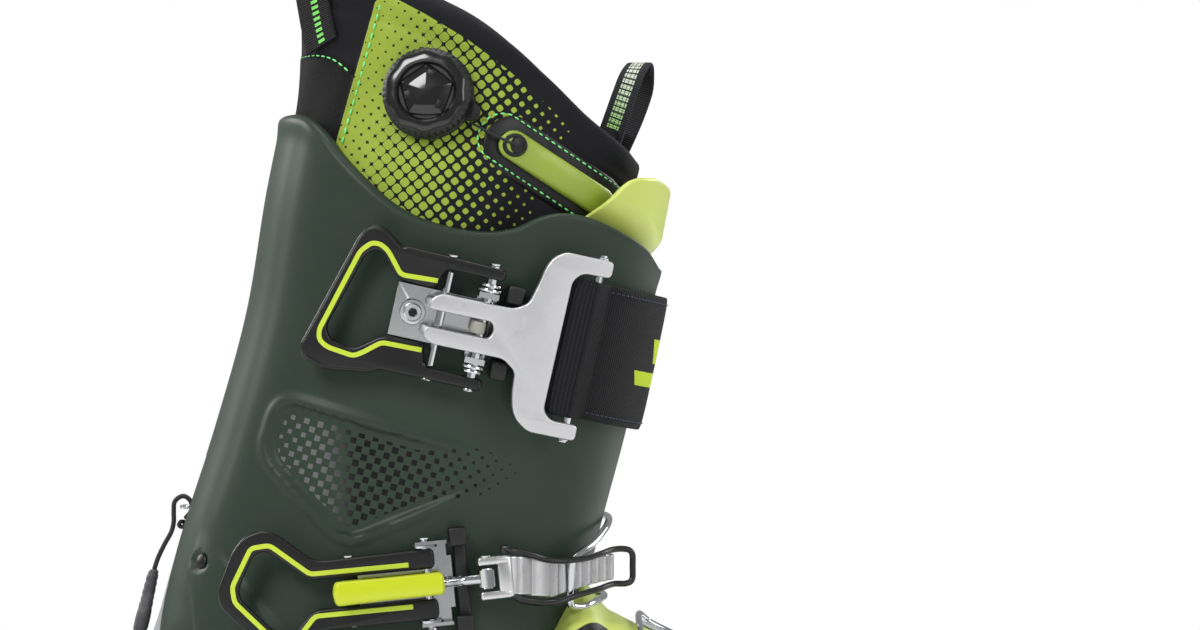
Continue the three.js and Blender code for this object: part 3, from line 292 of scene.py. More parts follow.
def grid_faces(columns, rows, wrap_columns=False, wrap_rows=False):
    """Quads of a grid whose points are stored column by column, optionally joined end to end."""
    i = np.arange(columns if wrap_columns else columns - 1)[:, None]
    j = np.arange(rows if wrap_rows else rows - 1)[None, :]
    i2, j2 = (i + 1) % columns, (j + 1) % rows
    quads = np.stack([i * rows + j, i2 * rows + j, i2 * rows + j2, i * rows + j2], -1)
    return quads.reshape(-1, 4)


def ring_section(rim, rows_out, rows_in):
    """The loop round a wall's section as (s, d): up the outer face (d 1), over a half round rim, and
    down the inner face (d 0). rim is the rim's depth as a share of the wall's height."""
    arc = np.linspace(0, math.pi, 7)[1:-1]
    up = np.linspace(rim, 1 - rim, rows_out)
    down = np.linspace(1 - rim, rim, rows_in)
    s = np.concatenate([up, 1 - rim + rim * np.sin(arc), down, rim - rim * np.sin(arc)])
    d = np.concatenate([1 + 0 * up, 0.5 + 0.5 * np.cos(arc), 0 * down, 0.5 - 0.5 * np.cos(arc)])
    return s, d


def skin(name, rings, material, layers=None, turn_out=True, **rest):
    """A closed skin over rows of rings, with a fan over each end. layers are numbers on the rings'
    points, by name, which each fan's middle takes as its ring's mean."""
    n, m = rings.shape[:2]
    points, faces = with_ends(rings.reshape(-1, 3), grid_faces(n, m, False, True), n, m)
    obj = make(name, points, faces, material, **rest)
    for key, values in (layers or {}).items():
        full = np.broadcast_to(values, (n, m))
        attribute(obj, key, np.concatenate([full.ravel(), [full[0].mean(), full[-1].mean()]]))
    if turn_out:
        outward(obj.data)
    return obj


def wall(name, point, columns, rim, rows_out, rows_in, **rest):
    """A closed wall: point(u, s, d) on the section loop at each u, with fans at its ends."""
    s, d = ring_section(rim, rows_out, rows_in)
    u = np.arange(columns) / (columns - 1)
    p = point(u[:, None] + 0 * s[None], s[None] + 0 * u[:, None], d[None] + 0 * u[:, None])
    return skin(name, p, **rest)


def with_ends(points, faces, columns, rows):
    """Closes both ends of a tube-like grid with fans from their middles."""
    ends = [np.arange(rows), (columns - 1) * rows + np.arange(rows)]
    middles = np.array([points[e].mean(0) for e in ends])
    n = len(points)
    fans = []
    for k, e in enumerate(ends):
        nxt = np.roll(e, -1)
        order = (nxt, e) if k == 0 else (e, nxt)
        fans.append(np.stack([order[0], order[1], np.full(rows, n + k), np.full(rows, n + k)], -1))
    tri = [f[:3].tolist() for f in np.concatenate(fans)]
    return np.concatenate([points, middles]), faces.tolist() + tri


def outward(mesh):
    """Turns a closed mesh's faces to point outwards."""
    bm = bmesh.new()
    bm.from_mesh(mesh)
    bmesh.ops.remove_doubles(bm, verts=bm.verts, dist=1e-7)
    bmesh.ops.recalc_face_normals(bm, faces=bm.faces)
    bm.to_mesh(mesh)
    bm.free()
    mesh.shade_smooth()


def attribute(obj, name, values):
    """Stores one number per vertex for the material to read."""
    layer = obj.data.attributes.new(name, "FLOAT", "POINT")
    layer.data.foreach_set("value", np.asarray(values, np.float32).ravel())


def row_point(point):
    """A layout point in the row's metres."""
    return tuple((np.array(point) + SHIFT) * MM)


def layout_points(obj):
    """The vertices of an object in layout millimetres."""
    flat = np.empty(len(obj.data.vertices) * 3)
    obj.data.vertices.foreach_get("co", flat)
    return flat.reshape(-1, 3) / MM - SHIFT


def plate(name, outline, holes, near, far, bevel, at, material, fold=None, **rest):
    """A flat plate of an outline with holes, its edges rounded by bevel, from distance near to far
    out of the frame at. fold is (x, angle): the part before x is bent inwards by the angle."""
    curve = bpy.data.curves.new(name, "CURVE")
    curve.dimensions = "2D"
    curve.fill_mode = "BOTH"
    curve.extrude = (far - near) / 2 - bevel
    curve.bevel_depth = bevel
    curve.bevel_resolution = 3
    curve.offset = -bevel
    for loop in [outline, *holes]:
        spline = curve.splines.new("POLY")
        spline.points.add(len(loop) - 1)
        flat = np.zeros((len(loop), 4))
        flat[:, :2] = loop
        spline.points.foreach_set("co", flat.ravel())
        spline.use_cyclic_u = True
    holder = bpy.data.objects.new(name, curve)
    bpy.context.scene.collection.objects.link(holder)
    mesh = bpy.data.meshes.new_from_object(holder.evaluated_get(bpy.context.evaluated_depsgraph_get()))
    bpy.data.objects.remove(holder)
    bpy.data.curves.remove(curve)
    upright = Matrix(((1, 0, 0, 0), (0, 0, -1, -(near + far) / 2), (0, 1, 0, 0), (0, 0, 0, 1)))
    mesh.transform(upright)
    if fold:
        flat = np.empty(len(mesh.vertices) * 3)
        mesh.vertices.foreach_get("co", flat)
        p = flat.reshape(-1, 3)
        p[:, 1] += np.maximum(0, fold[0] - p[:, 0]) * math.tan(fold[1])
        mesh.vertices.foreach_set("co", p.ravel())
    mesh.transform(TO_ROW @ at)
    outward(mesh)
    return place(mesh, name, material, sharp=40, **rest)


def blocks(name, boxes, bevel, at, finish, body, slot):
    """Rounded boxes of one kind, given by two corners each and numbered from 0. Gives the last."""
    for k, (low, high) in enumerate(boxes):
        piece = block("%s_%d" % (name, k), low, high, bevel, at, finish_of(finish), body=body, slot=slot)
    return piece


def lathe(name, profile, at, material, sides=40, shape=None, **rest):
    """A profile of (radius, height) turned about the frame's -Y axis. shape(angle, radius, height)
    may change the radius, and a profile that starts and ends on the axis closes itself."""
    radius, height = np.asarray(profile, float).T
    angle = np.arange(sides) / sides * TURN
    r = np.repeat(radius[None], sides, 0)
    if shape:
        r = shape(angle[:, None] + 0 * r, r, height[None] + 0 * r)
    p = np.stack([r * np.cos(angle)[:, None], -height[None] + 0 * r, r * np.sin(angle)[:, None]], -1)
    obj = make(name, into(at, p.reshape(-1, 3)), grid_faces(sides, len(radius), True), material, **rest)
    outward(obj.data)
    obj.data.set_sharp_from_angle(angle=38 * DEG)
    return obj


def block(name, low, high, bevel, at, material, **rest):
    """A box with rounded edges in a frame."""
    bm = bmesh.new()
    low, high = Vector(low), Vector(high)
    size = Matrix.Diagonal((*(high - low), 1))
    bmesh.ops.create_cube(bm, size=1, matrix=Matrix.Translation((low + high) / 2) @ size)
    bmesh.ops.bevel(bm, geom=bm.edges[:], offset=bevel, segments=3, profile=0.5, affect="EDGES")
    mesh = bpy.data.meshes.new(name)
    bm.to_mesh(mesh)
    bm.free()
    mesh.transform(TO_ROW @ at)
    return place(mesh, name, material, sharp=40, **rest)


def tangent_of(p):
    """The direction of a path at each of its points."""
    tangent = np.gradient(p, axis=0)
    return tangent / np.linalg.norm(tangent, axis=1)[:, None]


def along_path(p):
    """How far along a path each of its points lies."""
    return np.concatenate([[0], np.cumsum(np.linalg.norm(np.diff(p, axis=0), axis=1))])


def sample(at, knots, values):
    """Vectors read off a row of them at numbers between its knots."""
    return np.stack([np.interp(at, knots, values[:, k]) for k in range(values.shape[1])], -1)


def tube(name, path, radius, material, sides=12, count=None, at=None, **rest):
    """A round bar carried along a path, with its ends domed: rings stand square to the path on axes
    that are passed on from ring to ring."""
    p = catmull(path, count) if count else np.asarray(path, float)
    if at is not None:
        p = into(at, p)
    tangent = tangent_of(p)
    side = np.zeros_like(p)
    start = np.array([0.0, 0, 1]) if abs(tangent[0, 2]) < 0.8 else np.array([0.0, 1, 0])
    for k in range(len(p)):
        start = start - tangent[k] * (start @ tangent[k])
        start /= np.linalg.norm(start)
        side[k] = start
    other = np.cross(tangent, side)
    angle = np.arange(sides) / sides * TURN
    size = np.broadcast_to(radius, len(p)).astype(float)
    ring = np.cos(angle)[None, :, None] * side[:, None] + np.sin(angle)[None, :, None] * other[:, None]
    caps = []
    for end, sign in ((0, -1), (-1, 1)):
        rings = [
            p[end] + sign * tangent[end] * size[end] * h + ring[end] * size[end] * math.sqrt(1 - h * h)
            for h in (0.5, 0.87)
        ]
        caps.append(rings if sign > 0 else rings[::-1])
    body = p[:, None] + ring * size[:, None, None]
    return skin(name, np.concatenate([np.array(caps[0]), body, np.array(caps[1])]), material, **rest)


def band(name, path, across, half, thick, material, **rest):
    """A flat band carried along a path: its section is a rounded rectangle, half wide along the
    across vectors, and thick along the vectors square to them and to the path."""
    p = np.asarray(path, float)
    tangent = tangent_of(p)
    across = np.broadcast_to(across, p.shape)
    across = across - tangent * (across * tangent).sum(1)[:, None]
    across /= np.linalg.norm(across, axis=1)[:, None]
    normal = np.cross(tangent, across)
    t = np.arange(32) / 32 * TURN
    w = signed_power(np.cos(t), 0.35)
    h = signed_power(np.sin(t), 0.5)
    points = p[:, None] + across[:, None] * (w * half)[None, :, None]
    points = points + normal[:, None] * (h * thick / 2)[None, :, None]
    layers = {"along": along_path(p)[:, None], "across": w * half, "face": h}
    return skin(name, points, material, layers, **rest)


def stitches(name, path, normal, pitch, length, radius, material, **rest):
    """Small rounded stitches laid along a path at an even pitch: one spindle form, repeated."""
    p = np.asarray(path, float)
    far = along_path(p)
    count = max(2, int(far[-1] / pitch))
    middle = (np.arange(count) + 0.5) * far[-1] / count
    at = sample(middle, far, p)
    along = sample(middle + 0.3, far, p) - at
    along /= np.maximum(np.linalg.norm(along, axis=1), 1e-9)[:, None]
    up = sample(middle, far, np.broadcast_to(normal, p.shape))
    up /= np.linalg.norm(up, axis=1)[:, None]
    side = np.cross(along, up)
    s = np.array([-1, -0.7, 0, 0.7, 1])
    r = np.array([0.05, 0.8, 1, 0.8, 0.05])
    a = np.arange(6) / 6 * TURN
    form = (
        along[:, None, None] * (s * length / 2)[None, :, None, None]
        + side[:, None, None] * (r[:, None] * np.cos(a))[None, :, :, None] * radius
        + up[:, None, None] * (r[:, None] * np.sin(a))[None, :, :, None] * radius
    )
    points = (at[:, None, None] + form).reshape(-1, 3)
    one = grid_faces(5, 6, False, True)
    faces = (one[None] + (np.arange(count) * 30)[:, None, None]).reshape(-1, 4)
    obj = make(name, points, faces, material, **rest)
    close_ends(obj.data)
    return obj


def close_ends(mesh):
    """Fills the open ends of a mesh and turns its faces outwards."""
    bm = bmesh.new()
    bm.from_mesh(mesh)
    bmesh.ops.holes_fill(bm, edges=bm.edges, sides=0)
    bmesh.ops.recalc_face_normals(bm, faces=bm.faces)
    bm.to_mesh(mesh)
    bm.free()
    mesh.shade_smooth()


# ---- Materials ---------------------------------------------------------------------------
class Wire:
    """A shader value. Arithmetic on it adds Math nodes."""

    def __init__(self, paint, socket):
        self.paint, self.socket = paint, socket

    def math(self, operation, *values):
        return self.paint.node("ShaderNodeMath", {"operation": operation}, dict(enumerate(values)))

    def __add__(self, other):
        return self.math("ADD", self, other)

    __radd__ = __add__

    def __sub__(self, other):
        return self.math("SUBTRACT", self, other)

    def __rsub__(self, other):
        return self.math("SUBTRACT", other, self)

    def __mul__(self, other):
        return self.math("MULTIPLY", self, other)

    __rmul__ = __mul__

    def __truediv__(self, other):
        return self.math("DIVIDE", self, other)

    def __lt__(self, other):
        return self.math("LESS_THAN", self, other)

    def __gt__(self, other):
        return self.math("GREATER_THAN", self, other)

    def __abs__(self):
        return self.math("ABSOLUTE", self)

    def ramp(self, low, high, to_low=0.0, to_high=1.0):
        """Goes smoothly from to_low at low to to_high at high, and no further."""
        values = {0: self, 1: low, 2: high, 3: to_low, 4: to_high}
        return self.paint.node("ShaderNodeMapRange", {"interpolation_type": "SMOOTHSTEP"}, values)

    def cell(self, size):
        """Where the value lies in its cell, from -0.5 to 0.5."""
        return self.math("FRACT", self / size) - 0.5


class Paint:
    """A material on one Principled shader, with the layout's coordinates in millimetres."""

    def __init__(self, name, color, roughness=0.5, metallic=0.0, **fixed):
        self.material = bpy.data.materials.new(name)
        self.material.use_nodes = True
        self.tree = self.material.node_tree
        self.shader = self.tree.nodes["Principled BSDF"]
        self.material.diffuse_color = (*color, 1)
        self.shader.inputs["Base Color"].default_value = (*color, 1)
        self.shader.inputs["Roughness"].default_value = roughness
        self.shader.inputs["Metallic"].default_value = metallic
        for key, value in fixed.items():
            self.shader.inputs[key.replace("_", " ")].default_value = value
        self.color, self.roughness = color, roughness
        self.where = None

    def node(self, kind, settings=None, values=None, output=0):
        """Adds a node with its settings, then its sockets' values or links, and gives one output."""
        made = self.tree.nodes.new(kind)
        for key, value in (settings or {}).items():
            setattr(made, key, value)
        for key, value in (values or {}).items():
            if isinstance(value, Wire):
                self.tree.links.new(value.socket, made.inputs[key])
            else:
                made.inputs[key].default_value = value
        return Wire(self, made.outputs[output])

    def place(self):
        """X, Y and Z of the layout in millimetres."""
        if self.where is None:
            at = self.node("ShaderNodeTexCoord", output="Object")
            parts = [self.node("ShaderNodeSeparateXYZ", {}, {0: at}, k) for k in range(3)]
            self.where = [part / MM - float(SHIFT[k]) for k, part in enumerate(parts)]
            self.at = at
        return self.where

    def noise(self, size, detail=2.0, rough=0.5, stretch=None):
        """Noise with features of about this size in millimetres."""
        self.place()
        at = self.at
        if stretch:
            at = self.node("ShaderNodeVectorMath", {"operation": "MULTIPLY"}, {0: at, 1: stretch})
        values = {"Vector": at, "Scale": 1000 / size, "Detail": detail, "Roughness": rough}
        return self.node("ShaderNodeTexNoise", {}, values)

    def attribute(self, name):
        """A number stored on the piece's vertices."""
        return self.node("ShaderNodeAttribute", {"attribute_name": name}, {}, "Fac")

    def mix(self, factor, a, b):
        """A colour between a and b."""
        full = [(*v, 1) if isinstance(v, tuple) else v for v in (a, b)]
        values = {0: factor, 6: full[0], 7: full[1]}
        return self.node("ShaderNodeMix", {"data_type": "RGBA"}, values, 2)

    def set(self, name, wire):
        self.tree.links.new(wire.socket, self.shader.inputs[name])
        return self

    def bump(self, height, distance, strength=1.0):
        """Raises the surface by up to distance in millimetres times the height."""
        values = {"Strength": strength, "Distance": distance * MM, "Height": height}
        return self.set("Normal", self.node("ShaderNodeBump", {}, values))

    def tone(self, factor, depth=0.12):
        """Lets the base colour vary by depth with a value."""
        dark = tuple(v * (1 - depth) for v in self.color)
        light = tuple(min(1, v * (1 + depth)) for v in self.color)
        return self.set("Base Color", self.mix(factor, dark, light))

    def matt(self, factor, spread):
        """Lets the roughness vary by spread round its value."""
        return self.set("Roughness", factor * (2 * spread) + (self.roughness - spread))


def moulded(name, color, roughness, grain, **fixed):
    """Moulded plastic: faint flow marks in the colour, fine spark-eroded grain and handling marks."""
    paint = Paint(name, color, roughness, **fixed)
    paint.tone(paint.noise(60, 3), 0.07)
    paint.matt(paint.noise(14, 4, 0.6), 0.06)
    return paint.bump(paint.noise(0.45, 2, 0.6) + paint.noise(9, 2) * 0.8, grain, 0.6)


def metal(name, color, roughness, grain, stretch=None, size=0.5):
    """Metal with fine grain, brushed where it is stretched, and faint smears in its gloss."""
    paint = Paint(name, color, roughness, 1.0)
    paint.tone(paint.noise(22, 3), 0.05)
    paint.matt(paint.noise(5, 4, 0.65), roughness * 0.3)
    return paint.bump(paint.noise(size, 2, 0.6, stretch), grain, 0.5)


GREEN = (0.0265, 0.0420, 0.0300)
LIME = (0.56, 0.66, 0.14)
OVERLAY = (0.295, 0.385, 0.045)
INLAY = (0.52, 0.66, 0.04)
SLEEVE = (0.55, 0.64, 0.008)
MINT = (0.20, 0.80, 0.24)
BLACK = (0.007, 0.007, 0.008)
PRINT_TILT = 14 * DEG


def colour(name):
    """A colour that the user chose in the panel."""
    return tuple(getattr(bpy.context.scene.ski_boot, name))


def scaled(color, factor):
    """A colour made darker or lighter."""
    return tuple(v * factor for v in color)


def rotated(paint, angle):
    """X and Z of the layout turned by an angle in the side view."""
    x, _, z = paint.place()
    c, s = math.cos(angle), math.sin(angle)
    return x * c + z * s, z * c - x * s


def cuff_material():
    """Satin green plastic. A print of small tilted squares fills the recessed panel: squares in two
    interleaved grids, grey at the rear, black in the middle and small towards the front."""
    green = colour("cuff_colour")
    paint = moulded("cuff_green", green, 0.42, 0.016, Specular_IOR_Level=0.22)
    x = paint.place()[0]
    pitch = 5.0
    turned = rotated(paint, -PRINT_TILT)
    size = x.ramp(44, 68, 0.14, 0.215) - x.ramp(84, 136, 0, 0.17) + paint.noise(7, 1) * 0.08 - 0.035
    masks = []
    for shift in (0.0, pitch / 2):
        a, b = [abs((v + shift).cell(pitch)) for v in turned]
        masks.append(a.math("MAXIMUM", a, b) < size)
    squares = masks[0].math("MAXIMUM", masks[0], masks[1])
    inside = paint.attribute("panel") > x.ramp(92, 118, 3.2, -3.4)
    ink = squares * inside * paint.noise(1.6, 3, 0.7).ramp(0.22, 0.36)
    base = paint.mix(paint.noise(60, 3), scaled(green, 0.92), scaled(green, 1.1))
    tone = paint.mix(x.ramp(58, 74), (0.13, 0.135, 0.135), (0.002, 0.0025, 0.002))
    paint.set("Base Color", paint.mix(ink, base, tone))
    return paint.set("Roughness", paint.noise(14, 4, 0.6) * 0.1 + 0.37 + ink * -0.14)


def liner_material():
    """The liner's cover. The overlay carries a halftone of rounded green squares on black that
    shrink towards the front; behind it is grained leather, and the collar is a fine knit."""
    paint = Paint("liner_cover", BLACK, 0.62, Specular_IOR_Level=0.18)
    x, _, z = paint.place()
    overlay = paint.attribute("overlay").ramp(0.0, 0.2)
    leather = paint.attribute("leather").ramp(-0.1, 0.1)
    cubes = [v.math("POWER", abs(v.cell(3.5)), 3.0) for v in rotated(paint, 38 * DEG)]
    cubes = cubes[0] + cubes[1]
    reach = cubes.math("POWER", cubes, 1 / 3)
    slope = x - (z - 310) * 0.45
    size = slope.ramp(58, 112, 0.575, 0.42) - slope.ramp(104, 150, 0, 0.29)
    size = size - slope.ramp(149, 152, 0, 0.3)
    ink = (size - reach).ramp(-0.012, 0.012) * overlay
    cover = paint.mix(paint.noise(30, 3), (0.006, 0.006, 0.008), (0.013, 0.013, 0.016))
    lime = colour("overlay_colour")
    green = paint.mix(paint.noise(18, 3), scaled(lime, 0.95), scaled(lime, 1.14))
    hide = paint.mix(leather, cover, (0.006, 0.006, 0.0065))
    paint.set("Base Color", paint.mix(ink, hide, green))
    knit_a, knit_b = rotated(paint, 0.3)
    ribs = knit_a.math("SINE", knit_a * 5.2) * knit_b.math("SINE", knit_b * 5.2)
    values = {"Vector": paint.at, "Scale": 900.0}
    creases = paint.node("ShaderNodeTexVoronoi", {"feature": "DISTANCE_TO_EDGE"}, values)
    grain = creases.ramp(0, 0.12) * leather
    plain = ribs * 0.35 * (1 - overlay) * (1 - leather)
    paint.bump(grain * 0.9 + plain + ink * 0.5 + paint.noise(1.2, 3) * 0.4, 0.16, 0.8)
    return paint.set("Roughness", 0.78 - ink * 0.26)


def instep_material():
    """The tongue's plastic with a dark soft window on each side."""
    lime = colour("tongue_colour")
    paint = moulded("instep_lime", lime, 0.38, 0.012)
    window = paint.attribute("window").ramp(-0.2, 0.2)
    base = paint.mix(paint.noise(60, 3), lime, scaled(lime, 1.08))
    return paint.set("Base Color", paint.mix(window, base, BLACK))


def webbing(name, color, rib, stripe):
    """Ribbed webbing: ribs across the band's length, with a cross thread between them."""
    paint = Paint(name, color, 0.8, Specular_IOR_Level=0.2)
    u, v = paint.attribute("along"), paint.attribute("across")
    ribs = u.math("SINE", u * (TURN / rib))
    cross = v.math("SINE", v * (TURN / (rib * 0.62)))
    weave = ribs * 0.8 + cross * 0.2
    # Painted shade and highlight: the weave's hollows are painted darker and its crowns lighter.
    shade = paint.mix(weave.ramp(-0.8, 0.9), scaled(color, 0.6), scaled(color, 1.3))
    paint.set("Base Color", stripe(paint, u, v, shade))
    return paint.bump(weave + paint.noise(0.7, 2) * 0.5, 0.16, 0.9)


def strap_stripe(paint, u, v, shade):
    """A plain slanted bar of bright print near the strap's front."""
    slant = paint.attribute("turn") + v * 0.6
    low = (slant > -31) * (slant < 6) * (abs(v + 6) < 2.6)
    high = (slant > -9) * (slant < 6) * (abs(v - 4.5) < 4.4)
    return paint.mix(low + high, shade, (0.50, 0.66, 0.03))


def loop_ladder(paint, u, v, shade):
    """A ladder of pale bars up the middle of a pull loop, between green edges."""
    outer = (paint.attribute("face") < 0) * (abs(v) < 2.2)
    rungs = (u.cell(2.1) > -0.2) * outer * (abs(v.cell(1.45)) < 0.4)
    fade = outer * (u.cell(2.1) > -0.3)
    light = paint.mix(u.ramp(2, 26), (0.36, 0.66, 0.18), (0.66, 0.72, 0.60))
    return paint.mix(rungs, paint.mix(fade, shade, (0.05, 0.07, 0.05)), light)


def rear_ladder(paint, u, v, shade):
    """Green bars up the rear loop's sides."""
    rungs = (u.cell(2.1) > -0.04) * (abs(v - 1.0) < 1.6)
    return paint.mix(rungs, shade, (0.22, 0.75, 0.14))


def rubber(name, color, roughness):
    """Rubber: a dull skin with mould grain and paler scuffs."""
    paint = Paint(name, color, roughness)
    scuff = paint.noise(26, 5, 0.7).ramp(0.52, 0.7)
    paint.set("Base Color", paint.mix(scuff, color, tuple(v * 2.0 + 0.004 for v in color)))
    paint.matt(paint.noise(7, 3), 0.08)
    return paint.bump(paint.noise(0.6, 3, 0.65) + paint.noise(5, 2) * 0.7, 0.05, 0.7)


MATERIALS = {}
# Each finish: its maker and what the maker is given. A colour may be named by its setting.
RECIPES = {
    "cuff": [cuff_material],
    "shell": [moulded, "shell_green", "cuff_colour", 0.42, 0.02, {"Specular_IOR_Level": 0.22}],
    "tongue": [moulded, "tongue_lime", "tongue_colour", 0.38, 0.012,
               {"Subsurface_Weight": 0.12, "Subsurface_Scale": 0.004, "Coat_Weight": 0.08}],
    "instep": [instep_material],
    "guide": [moulded, "guide_lime", "overlay_colour", 0.36, 0.012],
    "sleeve": [moulded, "sleeve_lime", "sleeve_colour", 0.3, 0.012, {"Coat_Weight": 0.3}],
    "inlay": [moulded, "inlay_lime", "inlay_colour", 0.35, 0.008],
    "lever": [moulded, "lever_black", (0.0055, 0.0055, 0.006), 0.36, 0.012, {"Specular_IOR_Level": 0.42}],
    "black": [moulded, "plastic_black", (0.006, 0.006, 0.0065), 0.4, 0.012, {"Specular_IOR_Level": 0.35}],
    "gloss": [moulded, "gloss_black", (0.005, 0.005, 0.006), 0.2, 0.004,
              {"Coat_Weight": 0.4, "Coat_Roughness": 0.1}],
    "chrome": [metal, "polished_steel", (0.60, 0.61, 0.63), 0.13, 0.004],
    "steel": [metal, "brushed_steel", (0.66, 0.67, 0.70), 0.27, 0.01, (1.0, 1.0, 12.0)],
    "blasted": [metal, "blasted_alloy", (0.64, 0.64, 0.655), 0.46, 0.13, {"size": 0.6}],
    "alloy": [metal, "ladder_alloy", (0.66, 0.66, 0.67), 0.3, 0.02, {"size": 0.8}],
    "roller": [moulded, "roller_nylon", (0.32, 0.31, 0.27), 0.5, 0.01],
    "wire": [moulded, "coated_wire", (0.010, 0.010, 0.011), 0.3, 0.01],
    "rubber": [rubber, "sole_rubber", (0.016, 0.016, 0.017), 0.75],
    "pad": [rubber, "pad_rubber", (0.004, 0.004, 0.0045), 0.5],
    "tab": [rubber, "tab_rubber", (0.055, 0.055, 0.06), 0.6],
    "liner": [liner_material],
    "mint": [moulded, "mint_thread", "thread_colour", 0.6, 0.02],
    "navy": [moulded, "navy_thread", (0.03, 0.035, 0.09), 0.7, 0.02],
    "cord": [rubber, "cord_cover", (0.014, 0.014, 0.015), 0.7],
    "strap": [webbing, "strap_webbing", (0.012, 0.012, 0.014), 1.05, strap_stripe],
    "front_loop": [webbing, "front_loop_webbing", (0.03, 0.03, 0.033), 0.8, loop_ladder],
    "rear_loop": [webbing, "rear_loop_webbing", (0.01, 0.01, 0.011), 0.8, rear_ladder],
    "floor": [moulded, "studio_floor", (0.82, 0.82, 0.82), 0.7, 0.01],
}


def finish_of(name):
    """The material of a finish, made once."""
    if name not in MATERIALS:
        maker, *given = RECIPES[name]
        fixed = given.pop() if given and isinstance(given[-1], dict) else {}
        given = [colour(v) if str(v).endswith("_colour") else v for v in given]
        MATERIALS[name] = maker(*given, **fixed).material
    return MATERIALS[name]


# ---- Stage -------------------------------------------------------------------------------
FRAME_WIDTH = 421.05
FRAME_CENTRE = (157.9, 239.5)
LENS_SETBACK = 0.025
# Each lamp's place and size in metres, and its power.
LAMPS = {
    "key": ((-0.9, -1.5, 1.5), 0.9, 26),
    "fill": ((1.5, -1.3, 0.9), 1.1, 11),
    "rim_left": ((-1.3, 0.7, 0.9), 0.7, 14),
    "rim_right": ((1.3, 0.9, 0.8), 0.7, 12),
    "top": ((0.0, 0.1, 1.9), 1.0, 14),
}


def build_stage():
    """A level camera with a long lens on the outer side, soft lights and a pale floor."""
    scene = bpy.context.scene
    camera = bpy.data.cameras.new("camera")
    eye = bpy.data.objects.new("camera", camera)
    scene.collection.objects.link(eye)
    settings = scene.ski_boot
    distance = settings.camera_distance
    x, z = (FRAME_CENTRE[0] + SHIFT[0]) * MM, FRAME_CENTRE[1] * MM
    eye.location = (x, -distance - LENS_SETBACK, z)
    eye.rotation_euler = (math.pi / 2, 0, 0)
    camera.sensor_width = 36
    camera.lens = 36 * distance / (FRAME_WIDTH * MM)
    camera.clip_end = 50
    scene.camera = eye
    world = bpy.data.worlds.new("studio")
    scene.world = world
    world.use_nodes = True
    scene.view_settings.view_transform = "Standard"
    tree = world.node_tree
    back = tree.nodes["Background"]
    back.inputs[0].default_value = (1, 1, 1, 1)
    seen = tree.nodes.new("ShaderNodeLightPath")
    strength = tree.nodes.new("ShaderNodeMapRange")
    strength.inputs["To Min"].default_value = settings.ambient
    tree.links.new(seen.outputs["Is Camera Ray"], strength.inputs["Value"])
    tree.links.new(strength.outputs[0], back.inputs[1])
    for name, (at, size, power) in LAMPS.items():
        light = bpy.data.lights.new(name, "AREA")
        light.shape = "DISK"
        light.size, light.energy = size, power * settings.light
        lamp = bpy.data.objects.new(name, light)
        scene.collection.objects.link(lamp)
        lamp.location = at
        lamp.rotation_euler = (Vector((0, 0, 0.2)) - Vector(at)).to_track_quat("-Z", "Y").to_euler()
    t = np.linspace(0, TURN, 97)[:-1]
    rim = np.stack([np.cos(t), np.sin(t), 0 * t], -1)
    points = np.concatenate([rim * r for r in (0.02, 0.6, 1.2, 1.6)] + [[[0, 0, 0]]])
    mesh = bpy.data.meshes.new("floor")
    faces = grid_faces(4, 96, False, True).tolist() + [[384, k, (k + 1) % 96] for k in range(96)]
    mesh.from_pydata(points.tolist(), [], faces)
    place(mesh, "floor", finish_of("floor"))


# ---- Cuff --------------------------------------------------------------------------------
FLAP = (-22 * DEG, 388 * DEG)
PANEL = [(46.6, 210.0), (40.6, 190.8), (68.9, 160.8), (129.5, 185.4)]
FACET = [(17.4, 165.6), (27.5, 153.6), (33.3, 147.0), (48.5, 128.0), (16.5, 128.0), (13.0, 150.0)]
PLUG = (18.0, 153.0)


def flap_depth(angle):
    """How far the inner flap lies under the outer one."""
    return -5.3 * (1 - smooth(38 * DEG, 78 * DEG, angle))


def cuff_relief(p, outer):
    """The mouldings on the outer side: a recessed panel in a raised rim that dies away to the
    front, a low triangular facet, the plug's hole and a soft crease before the rear spine. Gives the relief
    and how far inside the panel each point lies."""
    x, z = p[..., 0], p[..., 2]
    side = smooth(8, 24, -p[..., 1]) * outer
    d = outline_distance(x, z, fillet(PANEL, 7))
    fade = 1 - smooth(88, 124, x)
    rim = smooth(-4.8, -1.6, d) * (1 - smooth(-0.5, 0.7, d)) * fade
    recess = -1.3 * smooth(-0.1, 1.1, d) * (0.12 + 0.88 * fade)
    facet = 0.9 * smooth(-0.4, 1.0, outline_distance(x, z, FACET)) * smooth(166, 150, z)
    hole = -1.2 * (1 - smooth(2.6, 3.3, np.hypot(x - PLUG[0], z - PLUG[1])))
    spine = x - read(CUFF, z, 1)
    crease = -0.3 * np.exp(-(((spine - 9.5) / 2.6) ** 2)) * smooth(150, 185, z)
    lower = 0.5 * smooth(140, 128, z) * smooth(120, 60, x)
    return side * (rim + recess + facet + hole + lower) + outer * crease, d * side


